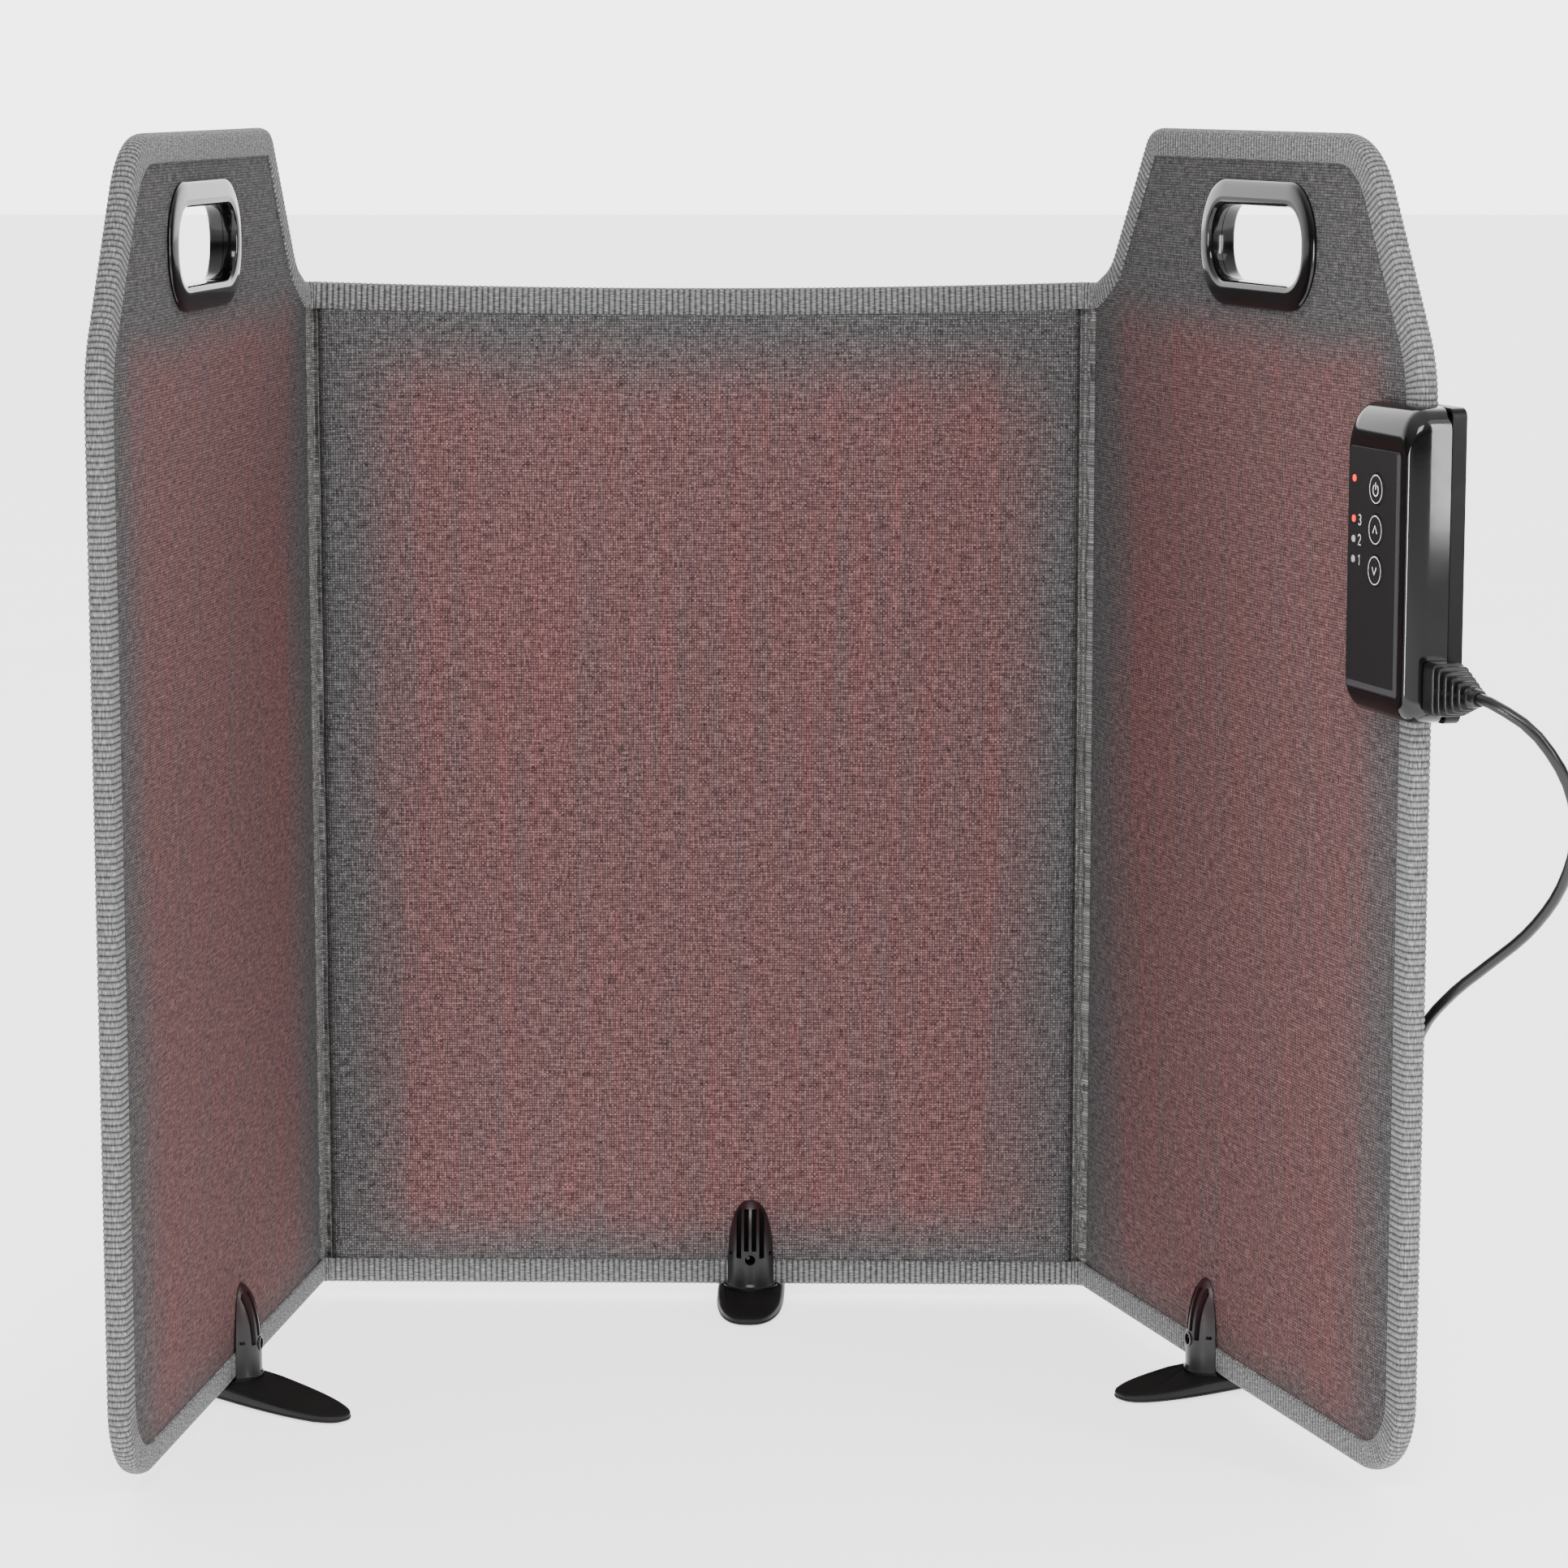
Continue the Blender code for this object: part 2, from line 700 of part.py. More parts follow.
def clip(name, parent, x):
    """A foot clip: two ribbed jaws over the panel's bottom edge, on a disc and a pivot."""
    width = clip_half_width
    profile = [
        (0.0, clip_top), (width * 0.33, clip_top * 0.980), (width * 0.62, clip_top * 0.900),
        (width * 0.82, clip_top * 0.755), (width * 0.94, clip_top * 0.560),
        (width, clip_top * 0.300), (width, clip_lip * 4.0),
        (width + clip_lip, clip_lip * 2.0), (width + clip_lip, 0.0), (0.0, 0.0),
    ]
    body = turned(profile, clip_segments)
    body.transform(Matrix.Diagonal((1.0, clip_half_depth / clip_half_width, 1.0, 1.0)))
    made = place(name, body, satin_black, parent, (x, 0.0, 0.0))
    disc_bottom = foot_top - clip_floor
    boolean(made, drum(disc_radius, disc_bottom, clip_lip, "Z", (0.0, 0.0, 0.0)), "UNION")
    pin_low = foot_bottom + pivot_clear
    boolean(made, drum(pivot_radius, pin_low, foot_top - gap, "Z", (0.0, 0.0, 0.0)), "UNION")
    slot_half = half_thickness + gap
    wide = disc_radius + overrun
    boolean(made, block((-wide, -slot_half, foot_top), (wide, slot_half, clip_top + overrun)))
    tools = []
    deep = clip_half_depth + overrun
    floor = slot_half + jaw_wall
    for facing in (-1.0, 1.0):
        near, far = sorted((facing * floor, facing * deep))
        for place_share in (-1.5, -0.5, 0.5, 1.5):
            middle = slot_pitch * place_share
            tools.append(block((middle - slot_width / 2.0, near, slot_bottom),
                               (middle + slot_width / 2.0, far, clip_top)))
    boolean(made, together(tools))
    holes = []
    for facing in (-1.0, 1.0):
        near, far = sorted((facing * (floor - gap), facing * deep))
        holes.append(drum(peg_hole_radius, near, far, "Y", (0.0, 0.0, peg_height),
                          pad_segments))
    boolean(made, together(holes))
    pegs = []
    for facing in (-1.0, 1.0):
        near, far = sorted((facing * (floor - gap * 3.0), facing * (clip_half_depth - clip_floor)))
        pegs.append(drum(peg_radius, near, far, "Y",
                         (peg_radius, 0.0, peg_height + peg_radius), 10))
    boolean(made, together(pegs), "UNION")
    return made


def foot_outline():
    """A blunt oval, longer towards the toe than towards the heel."""
    points = []
    power = 2.0 / foot_bluntness
    for index in range(foot_points):
        angle = 2.0 * math.pi * index / foot_points
        across = math.copysign(abs(math.sin(angle)) ** power, math.sin(angle))
        along = math.copysign(abs(math.cos(angle)) ** power, math.cos(angle))
        length = toe_length if along > 0.0 else heel_length
        points.append((along * length, across * foot_half_width))
    return points


def sloped_top(mesh):
    """Trim the foot's top so that it falls towards the toe and the heel."""
    shape = bmesh.new()
    shape.from_mesh(mesh)
    flat_reach = disc_radius + foot_round
    for length, facing in ((toe_length, 1.0), (heel_length, -1.0)):
        normal = Vector((facing * foot_tip_drop, 0.0, length - flat_reach)).normalized()
        everything = shape.verts[:] + shape.edges[:] + shape.faces[:]
        bmesh.ops.bisect_plane(shape, geom=everything, plane_no=normal,
                               plane_co=(facing * flat_reach, 0.0, foot_top), clear_outer=True)
        open_edges = [edge for edge in shape.edges if edge.is_boundary]
        bmesh.ops.holes_fill(shape, edges=open_edges)
    bmesh.ops.recalc_face_normals(shape, faces=shape.faces)
    shape.to_mesh(mesh)
    shape.free()
    return mesh


def foot(name, parent, x, turn):
    """A foot on its own frame, which turns about the clip's pivot, and its two rubber pads."""
    frame = empty(name + "_pivot", parent, (x, 0.0, 0.0), turn)
    outline = foot_outline()
    shoe = place(name, sloped_top(upright([outline], foot_bottom, foot_top)), matt_black, frame)
    soften = shoe.modifiers.new("soft_edges", "BEVEL")
    soften.width = foot_round
    soften.segments = 2
    soften.angle_limit = math.radians(50.0)
    seat = drum(disc_radius + gap, foot_top - clip_floor - gap, foot_top + overrun, "Z",
                (0.0, 0.0, 0.0))
    boolean(shoe, seat)
    boolean(shoe, drum(pivot_radius + gap, foot_bottom - overrun, foot_top, "Z",
                       (0.0, 0.0, 0.0)))
    pockets = []
    top = pad_thickness - panel_lift
    for label, place_at in (("_toe_pad", toe_length - pad_inset),
                            ("_heel_pad", pad_inset - heel_length)):
        pockets.append(drum(pad_radius + gap, foot_bottom - overrun, top + gap, "Z",
                            (place_at, 0.0, 0.0), pad_segments))
        place(name + label,
              drum(pad_radius, -panel_lift, top, "Z", (0.0, 0.0, 0.0), pad_segments),
              rubber_black, frame, (place_at, 0.0, 0.0))
    boolean(shoe, together(pockets))
    return frame


def box_section(depth, top_drop, bottom_rise, side_inset, radius):
    """One rounded rectangle of the controller's front shell, at a depth from the mid-plane."""
    low = box_inner_reach + side_inset
    high = box_outer_reach - side_inset
    bottom = box_bottom + bottom_rise
    top = box_top - top_drop
    corners = [(-high, bottom, radius), (-low, bottom, radius), (-low, top, radius),
               (-high, top, radius)]
    return [(point.x, depth, point.y) for point in rounded(corners, box_steps)]


def box_form(wall, start):
    """The front shell's outer form, or its cavity when a wall is given."""
    front = box_front - wall
    shares = ((0.0, 0.0), (0.38, 0.076), (0.71, 0.295), (0.92, 0.608), (1.0, 1.0))
    sections = [box_section(start, wall, wall, wall, box_corner_radius - wall)]
    for rise_share, turn_share in shares:
        depth = front - box_round_depth * (1.0 - rise_share)
        side = wall + box_side_round * turn_share
        radius = max(box_corner_radius - side, gap)
        sections.append(box_section(depth, wall + box_top_slope * turn_share,
                                    wall + box_bottom_slope * turn_share, side, radius))
    return loft(sections)


def key_heights():
    """Heights of the power key, the up key and the down key."""
    return {"key_power": power_key_height, "key_up": power_key_height - key_spacing,
            "key_down": power_key_height - 2.0 * key_spacing}


def lamp_heights():
    """Heights of the lamps, in a row beside the keys from the power key to the down key."""
    top = power_key_height + lamp_lift
    return {name: top - 2.0 * key_spacing * share for name, share in lamp_row_shares.items()}


def front_shell():
    """The controller's front half, hollow, cut to pass the panel's edge."""
    shell = place("controller_front_shell", box_form(0.0, gap / 2.0), gloss_black, right_frame)
    boolean(shell, box_form(box_wall, -overrun))
    passing = half_thickness + gap
    edge = wing_reach + gap
    boolean(shell, block((-edge, -overrun, box_bottom - overrun),
                         (-box_inner_reach + overrun, passing, box_top + overrun)))
    recess_outline = face_outline(gap)
    floor = box_front - face_recess
    boolean(shell, flat([recess_outline], floor, box_front + overrun))
    bosses = []
    board_top = board_depth + board_thickness + gap
    for reach in (box_inner_reach + boss_inset, box_outer_reach - boss_inset):
        for height in (box_bottom + boss_inset + box_wall, box_top - boss_inset - box_top_slope):
            bosses.append(drum(boss_radius, board_top, box_front - box_wall / 2.0, "Y",
                               (-reach, 0.0, height), lamp_segments))
    boolean(shell, together(bosses), "UNION")
    holes = []
    low = box_front - box_wall - overrun
    for height in key_heights().values():
        holes.append(drum(key_radius + key_clear, low, box_front + overrun, "Y",
                          (-key_reach, 0.0, height), key_segments))
    for height in lamp_heights().values():
        holes.append(drum(lamp_radius + lamp_clear, low, box_front + overrun, "Y",
                          (-lamp_reach, 0.0, height), lamp_segments))
    boolean(shell, together(holes))


def back_shell():
    """The controller's rear half: a plate behind the panel and a wall past its edge."""
    passing = half_thickness + gap
    rear = -passing - box_rear_wall
    corners = [
        (-box_outer_reach, box_bottom, box_corner_radius / 2.0),
        (-box_inner_reach, box_bottom, box_corner_radius),
        (-box_inner_reach, box_top, box_corner_radius),
        (-box_outer_reach, box_top, box_rear_corner_radius),
    ]
    outline = [(point.x, point.y) for point in rounded(corners, arc_steps)]
    shell = place("controller_back_shell", flat([outline], rear, -gap / 2.0), gloss_black,
                  right_frame)
    edge = wing_reach + gap
    boolean(shell, block((-edge, -passing, box_bottom - overrun),
                         (-box_inner_reach + overrun, overrun, box_top + overrun)))
    boolean(shell, block((box_wall - box_outer_reach, -passing, box_bottom + box_wall),
                         (-wing_reach, overrun, box_top - box_wall)))


def face_outline(growth):
    """The printed face plate's outline."""
    corners = [
        (-face_outer_reach - growth, face_bottom - growth, face_radius),
        (-face_inner_reach + growth, face_bottom - growth, face_radius),
        (-face_inner_reach + growth, face_top + growth, face_radius),
        (-face_outer_reach - growth, face_top + growth, face_radius),
    ]
    return [(point.x, point.y) for point in rounded(corners, 3)]


def face_plate():
    """The face plate in its recess, pierced for the keys and the lamps."""
    seat = box_front - face_recess + gap
    plate = place("controller_face_plate", flat([face_outline(0.0)], seat,
                                                seat + face_plate_thickness),
                  face_black, right_frame)
    holes = []
    for height in key_heights().values():
        holes.append(drum(key_radius + key_clear, seat - overrun, seat + overrun, "Y",
                          (-key_reach, 0.0, height), key_segments))
    for height in lamp_heights().values():
        holes.append(drum(lamp_radius + lamp_clear, seat - overrun, seat + overrun, "Y",
                          (-lamp_reach, 0.0, height), lamp_segments))
    boolean(plate, together(holes))


def keys_and_lamps():
    """Each key with its flange and stem, the tact switch under it, and the lamp lenses."""
    board_top = board_depth + board_thickness
    plate_top = box_front - face_recess + gap + face_plate_thickness
    switch_base = board_top + gap
    switch_top = switch_base + switch_body
    button_top = switch_top + switch_button
    flange_top = box_front - box_wall - gap
    flange_low = flange_top - key_flange_thickness
    stem_low = button_top + gap + key_travel
    for name, height in key_heights().items():
        profile = [
            (0.0, plate_top + key_proud), (key_radius - key_flange, plate_top + key_proud),
            (key_radius, plate_top + key_proud / 2.0), (key_radius, flange_top),
            (key_radius + key_flange, flange_top), (key_radius + key_flange, flange_low),
            (key_stem_radius, flange_low), (key_stem_radius, stem_low), (0.0, stem_low),
        ]
        body = turned(profile, key_segments)
        body.transform(Matrix.Rotation(-math.pi / 2.0, 4, "X"))
        place(name, body, face_black, right_frame, (-key_reach, 0.0, height))
        half = switch_side / 2.0
        switch = place("switch_" + name[4:], block((-half, switch_base, -half),
                                                   (half, switch_top, half)),
                       switch_grey, right_frame, (-key_reach, 0.0, height))
        boolean(switch, drum(switch_button_radius, switch_top - gap, button_top, "Y",
                             (0.0, 0.0, 0.0), lamp_segments), "UNION")
    for name, height in lamp_heights().items():
        surface = lamp_red if name in ("power", "high") else lamp_clear_grey
        place("lamp_" + name, drum(lamp_radius, board_top + gap, plate_top + lamp_proud, "Y",
                                   (0.0, 0.0, 0.0), lamp_segments),
              surface, right_frame, (-lamp_reach, 0.0, height))


def circuit_board():
    """The board that carries the switches and lamps, held on the front shell's bosses."""
    inner = box_wall + board_clear
    top = box_top - boss_inset - box_top_slope + boss_radius
    radius = box_corner_radius - inner
    corners = [(inner - box_outer_reach, box_bottom + inner, radius),
               (-box_inner_reach - inner, box_bottom + inner, radius),
               (-box_inner_reach - inner, top, radius), (inner - box_outer_reach, top, radius)]
    outline = [(point.x, point.y) for point in rounded(corners, 3)]
    place("circuit_board", flat([outline], board_depth, board_depth + board_thickness),
          board_green, right_frame)


def strain_relief():
    """A square moulded root that steps down in ribs to a round neck on the cord."""
    start = box_outer_reach + gap
    stations = [(0.0, 0.0, 0.0), (relief_root_length, 0.0, 0.0)]
    ribbed = relief_length - relief_root_length - relief_neck
    pitch = ribbed / relief_ribs
    for rib in range(relief_ribs):
        low = relief_root_length + pitch * rib
        share = (rib + 0.5) / relief_ribs
        stations.append((low + pitch * 0.04, share, relief_groove))
        stations.append((low + pitch * 0.42, share, relief_groove))
        stations.append((low + pitch * 0.46, share, 0.0))
        stations.append((low + pitch, share, 0.0))
    stations.append((relief_length - relief_neck * 0.9, 1.0, 0.0))
    stations.append((relief_length, 1.0, 0.0))
    sections = []
    for along, share, groove in stations:
        half_height = relief_half_height + (relief_end_radius - relief_half_height) * share
        half_depth = relief_half_depth + (relief_end_radius - relief_half_depth) * share
        power = 2.0 / (7.0 + (2.0 - 7.0) * share)
        points = []
        for index in range(relief_points):
            angle = 2.0 * math.pi * (index + 0.5) / relief_points
            rise = math.copysign(abs(math.sin(angle)) ** power, math.sin(angle))
            out = math.copysign(abs(math.cos(angle)) ** power, math.cos(angle))
            points.append((-start - along, relief_depth + out * (half_depth - groove),
                           relief_height + rise * (half_height - groove)))
        sections.append(points)
    place("strain_relief", loft(sections), matt_black, right_frame)


def smooth(points, step):
    """Evenly spaced points along a smooth curve through chosen points."""
    dense = []
    count = len(points)
    for index in range(count - 1):
        p0 = points[max(index - 1, 0)]
        p1, p2 = points[index], points[index + 1]
        p3 = points[min(index + 2, count - 1)]
        for part in range(24):
            t = part / 24.0
            dense.append(0.5 * ((2.0 * p1) + (p2 - p0) * t
                                + (2.0 * p0 - 5.0 * p1 + 4.0 * p2 - p3) * t ** 2
                                + (3.0 * p1 - p0 - 3.0 * p2 + p3) * t ** 3))
    dense.append(points[-1])
    total = sum((b - a).length for a, b in zip(dense, dense[1:]))
    pieces = max(2, round(total / step))
    wanted = total / pieces
    even = [dense[0]]
    walked = 0.0
    for a, b in zip(dense, dense[1:]):
        span = (b - a).length
        while walked + span >= wanted * len(even) and len(even) < pieces:
            even.append(a.lerp(b, (wanted * len(even) - walked) / span))
        walked += span
    even.append(dense[-1])
    return even, total


def tube(name, points, resolution, surface, parent):
    """A round tube along points that are given in the frame of the base."""
    line = bpy.data.curves.new(name, "CURVE")
    line.dimensions = "3D"
    line.bevel_depth = cord_diameter / 2.0
    line.bevel_resolution = resolution
    line.use_fill_caps = True
    line.twist_mode = "MINIMUM"
    spline = line.splines.new("POLY")
    spline.points.add(len(points) - 1)
    for point, place_at in zip(spline.points, points):
        point.co = (*place_at, 1.0)
    made = bpy.data.objects.new(name, line)
    line.materials.append(surface)
    made.parent = parent
    made.matrix_parent_inverse = parent.matrix_world.inverted()
    parts.objects.link(made)
    return made


def coil_path():
    """Two layers of loops that spiral in, climb where they turn back, and spiral out."""
    pitch = cord_diameter + coil_air
    low = cord_diameter / 2.0 + gap
    rise = cord_diameter + coil_air
    total = coil_turns * 2.0 * math.pi
    points = [Vector((coil_centre[0] + coil_radius, coil_centre[1] - tail_length, low))]
    count = coil_turns * coil_points
    for index in range(count + 1):
        angle = total * index / count
        turn_share = 1.0 - abs(2.0 * angle / total - 1.0)
        radius = coil_radius - pitch * turn_share * coil_turns / 2.0
        climb = min(max((angle - total / 2.0) / math.pi + 0.5, 0.0), 1.0)
        climb = climb * climb * (3.0 - 2.0 * climb)
        points.append(Vector((coil_centre[0] + radius * math.cos(angle),
                              coil_centre[1] + radius * math.sin(angle), low + rise * climb)))
    end = points[-1]
    points.append(end + Vector((0.0, plug_tail_length, 0.0)))
    return points


def least_gap(points):
    """The least air between stretches of the coil that aren't next to each other."""
    least = 1.0
    skip = coil_points // 2
    for index, here in enumerate(points):
        for there in points[index + skip:]:
            least = min(least, (here - there).length)
    return least - cord_diameter


def cord():
    """The cord's free stretch, its coil behind the right wing, and the plug."""
    bpy.context.view_layer.update()
    to_base = right_frame.matrix_world
    root = to_base @ Vector((-box_outer_reach - relief_length - 2.0 * gap, relief_depth,
                             relief_height))
    ahead = to_base @ Vector((-box_outer_reach - relief_length - tail_length / 2.0,
                              relief_depth, relief_height))
    coil = coil_path()
    join = coil[0]
    route = [root, ahead]
    for out_share, along_share, up_share in cord_route_shares:
        at = root.lerp(join, along_share)
        at.x += cord_swing * out_share
        at.z = max(root.z * up_share, join.z)
        route.append(at)
    route.append(join - Vector((0.0, tail_length, 0.0)))
    route.append(join - Vector((0.0, gap, 0.0)))
    points, length = smooth(route, cord_step)
    points.insert(1, ahead)
    tube("mains_cord", points, 2, rubber_black, right_frame)
    tube("cord_coil", coil, 1, rubber_black, right_frame)
    coil_length = sum((b - a).length for a, b in zip(coil, coil[1:]))
    print("coil least gap mm", round(least_gap(coil[1:-1]) * 1000.0, 3))
    print("cord length m", round(length + coil_length, 3))
    plug(coil[-1])


def plug(entry):
    """A small moulded plug with two flat blades, lying where the coil's end leads."""
    half_width = plug_width / 2.0
    low = gap
    high = low + plug_depth
    middle = (low + high) / 2.0
    start = entry.y + gap
    shares = ((0.0, 0.42), (0.28, 0.60), (0.52, 0.94), (0.62, 1.0), (1.0, 1.0))
    sections = []
    least_share, growth_share = plug_taper_shares
    for along_share, width_share in shares:
        half = half_width * width_share
        tall = plug_depth / 2.0 * (least_share + growth_share * width_share)
        corner = plug_round * width_share
        corners = [(entry.x - half, middle - tall, corner), (entry.x + half, middle - tall, corner),
                   (entry.x + half, middle + tall, corner), (entry.x - half, middle + tall, corner)]
        at = start + plug_length * along_share
        sections.append([(point.x, at, point.y) for point in rounded(corners, 3)])
    body = loft(sections)
    made = place("plug_body", body, rubber_black, right_frame)
    made.matrix_parent_inverse = right_frame.matrix_world.inverted()
    tip = start + plug_length + gap
    for label, facing in (("plug_blade_a", -1.0), ("plug_blade_b", 1.0)):
        x = entry.x + facing * blade_spacing / 2.0
        blade = block((x - blade_thickness / 2.0, tip, middle - blade_width / 2.0),
                      (x + blade_thickness / 2.0, tip + blade_length, middle + blade_width / 2.0))
        pin = place(label, blade, nickel, right_frame)
        pin.matrix_parent_inverse = right_frame.matrix_world.inverted()


def stand_over_origin(left_out):
    """Move the whole object so that the origin is under the middle of its base."""
    bpy.context.view_layer.update()
    graph = bpy.context.evaluated_depsgraph_get()
    low = Vector((1.0, 1.0, 1.0))
    high = -low
    for piece in parts.objects:
        if piece.type == "EMPTY" or piece.name in left_out:
            continue
        shape = piece.evaluated_get(graph).to_mesh()
        for vertex in shape.vertices:
            at = piece.matrix_world @ vertex.co
            low = Vector(min(a, b) for a, b in zip(low, at))
            high = Vector(max(a, b) for a, b in zip(high, at))
    middle = (low + high) / 2.0
    base.location = (-middle.x, -middle.y, -low.z)
    bpy.context.view_layer.update()
    print("base moved mm", [round(value * 1000.0, 4) for value in base.location])


centre_layers()
centre_binding("centre_top_binding", True)
centre_binding("centre_bottom_binding", False)
wing_layers("left", left_frame, 1.0)
wing_layers("right", right_frame, -1.0)
wing_binding("left", left_frame, 1.0)
wing_binding("right", right_frame, -1.0)
hinge_strip("hinge_strip_left", -axis_offset, left_fold, -1.0)
hinge_strip("hinge_strip_right", axis_offset, right_fold, 1.0)
grommet("left", left_frame, 1.0)
grommet("right", right_frame, -1.0)
clip("clip_left", left_frame, left_clip_reach)
clip("clip_right", right_frame, -right_clip_reach)
clip("clip_centre", centre_frame, -centre_clip_offset)
foot("foot_left", left_frame, left_clip_reach, math.radians(90.0 + left_foot_turn_degrees))
foot("foot_right", right_frame, -right_clip_reach, math.radians(90.0 + right_foot_turn_degrees))
foot("foot_centre", centre_frame, -centre_clip_offset,
     math.radians(90.0 + centre_foot_turn_degrees))
front_shell()
back_shell()
face_plate()
keys_and_lamps()
circuit_board()
strain_relief()
cord()
stand_over_origin(("mains_cord", "cord_coil", "plug_body", "plug_blade_a", "plug_blade_b"))
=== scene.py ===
# %% [markdown]
# # A folding radiant heater for the legs
# Three padded fabric panels stand in a U on clip-on feet. This lesson dresses a imported CAD
# model of it: the model is loaded first, and every new piece is made in the same frame, in
# metres; most of them ride on one of the model's moving bodies.

# %% Load the imported model
import math
import bpy
import bmesh
from mathutils import Matrix, Vector, noise


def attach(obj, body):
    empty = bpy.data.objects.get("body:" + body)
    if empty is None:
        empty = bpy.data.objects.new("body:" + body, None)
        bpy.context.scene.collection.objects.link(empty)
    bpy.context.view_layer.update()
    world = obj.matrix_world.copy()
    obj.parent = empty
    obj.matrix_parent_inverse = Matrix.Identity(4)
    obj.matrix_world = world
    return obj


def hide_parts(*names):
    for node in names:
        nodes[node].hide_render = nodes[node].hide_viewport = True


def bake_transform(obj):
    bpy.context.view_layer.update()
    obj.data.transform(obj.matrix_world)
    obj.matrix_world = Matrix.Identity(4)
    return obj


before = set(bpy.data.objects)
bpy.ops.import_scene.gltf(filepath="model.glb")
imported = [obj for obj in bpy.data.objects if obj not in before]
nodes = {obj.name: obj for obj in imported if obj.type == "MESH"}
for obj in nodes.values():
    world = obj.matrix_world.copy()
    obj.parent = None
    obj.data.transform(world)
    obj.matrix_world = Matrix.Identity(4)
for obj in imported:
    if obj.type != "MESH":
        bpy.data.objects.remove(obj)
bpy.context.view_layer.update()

# %% [markdown]
# The camera comes first, because everything is judged through it. The picture was taken with
# a long lens from a little above the panels, and a 106 mm lens on a full-frame sensor gives
# the same calm perspective.

# %% Camera
lens = bpy.data.cameras.new("long_lens")
lens.lens = 105.907
lens.sensor_width = 36.0
lens.clip_end = 20.0
camera = bpy.data.objects.new("long_lens", lens)
camera.location = (0.047733, -2.094583, 0.608837)
camera.rotation_euler = (math.pi / 2.0 - 0.153006, 0.0, 0.0200607)
bpy.context.scene.collection.objects.link(camera)
bpy.context.scene.camera = camera

# %% [markdown]
# Each panel has its own frame: x runs along the panel away from its hinge, y points out of
# the heated face, and z is the height above the panel's lower edge. The right wing mirrors
# the left, so its x is negative. Pieces are shaped in that frame and then placed once, so
# that every finished object sits at the origin with its place in its mesh.

# %% Frames and shared sizes
LIFT = 0.008
CENTRE_X, BACK_Y = -0.0390805, 0.157993
HINGE_X = {"left": -0.2320805, "right": 0.1539195}


def stand_at(x, turn, y=BACK_Y):
    """A frame at the panels' lower edge: a place and a turn in degrees."""
    return Matrix.Translation((x, y, LIFT)) @ Matrix.Rotation(math.radians(turn), 4, "Z")


FRAMES = {"centre": stand_at(CENTRE_X, 180.0), "left": stand_at(HINGE_X["left"], -96.8),
          "right": stand_at(HINGE_X["right"], 109.9)}
BODIES = {"centre": "centre_panel", "left": "wing_left", "right": "wing_right"}
HALF = 0.186
HINGE = 0.007
WING = 0.360
TOP = 0.500
SAG = 0.003
FACE = 0.0039
BAND = 0.0125
COVER_THICK = 0.0012
STRIP_THICK = 0.0018


def linked(name, data):
    """A new object in the scene for a mesh, a curve or a lamp."""
    made = bpy.data.objects.new(name, data)
    bpy.context.scene.collection.objects.link(made)
    return made


def meshed(name, shape):
    """A finished bmesh as an object in the scene."""
    mesh = bpy.data.meshes.new(name)
    shape.to_mesh(mesh)
    shape.free()
    return linked(name, mesh)


def place(name, shape, surface, body, at=None, smooth=40.0, recalc=True):
    """Turn a finished bmesh into an object at the origin that rides on a body."""
    if recalc:
        bmesh.ops.recalc_face_normals(shape, faces=shape.faces)
    piece = meshed(name, shape)
    if at is not None:
        piece.data.transform(at)
    piece.data.shade_smooth()
    piece.data.set_sharp_from_angle(angle=math.radians(smooth))
    piece.data.materials.append(surface)
    if body:
        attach(piece, body)
    return piece


# %% [markdown]
# Materials are built from nodes by one small helper. Colours are given as the sRGB hex
# values that a colour picker shows, and one function turns them into the linear values that
# the shader works in.

# %% Colour and node helpers
def linear(code):
    """The linear RGBA of an sRGB hex colour."""
    values = [int(code[i:i + 2], 16) / 255.0 for i in (1, 3, 5)]
    return (*[v / 12.92 if v <= 0.04045 else ((v + 0.055) / 1.055) ** 2.4 for v in values], 1.0)


def add(tree, kind, inputs=None, **settings):
    """Add a node with its settings, and its inputs as values or as sockets to link."""
    made = tree.nodes.new("ShaderNode" + kind)
    for name, value in settings.items():
        setattr(made, name, value)
    for name, value in (inputs or {}).items():
        if isinstance(value, bpy.types.NodeSocket):
            tree.links.new(value, made.inputs[name])
        else:
            made.inputs[name].default_value = value
    return made


def surface(name, **sockets):
    """A new material, its tree and its shader, with plain socket values set."""
    made = bpy.data.materials.new(name)
    made.use_nodes = True
    tree = made.node_tree
    shader = tree.nodes["Principled BSDF"]
    for socket, value in sockets.items():
        shader.inputs[socket.replace("_", " ")].default_value = value
    return made, tree, shader


def ramp(tree, factor, *stops):
    """A colour ramp between hex colours at places from 0 to 1."""
    made = add(tree, "ValToRGB", {"Fac": factor})
    points = made.color_ramp.elements
    while len(points) < len(stops):
        points.new(0.5)
    for point, (place_at, code) in zip(points, stops):
        point.position = place_at
        point.color = linear(code)
    return made.outputs["Color"]


def maths(tree, operation, *values, **settings):
    """One arithmetic node on values or sockets."""
    return add(tree, "Math", dict(enumerate(values)), operation=operation, **settings).outputs[0]


def remap(tree, value, span, onto=(0.0, 1.0), **settings):
    """Map one span of a value onto another."""
    return add(tree, "MapRange", {"Value": value, "From Min": span[0], "From Max": span[1],
                                  "To Min": onto[0], "To Max": onto[1]}, **settings).outputs[0]


def blended(tree, factor, first, second, how="MIX"):
    """Two colours mixed or multiplied."""
    return add(tree, "Mix", {"Factor": factor, 6: first, 7: second}, data_type="RGBA",
               blend_type=how).outputs[2]


def stretched(tree, at, scale):
    """A place scaled along its axes."""
    return add(tree, "Mapping", {"Vector": at, "Scale": scale}).outputs[0]


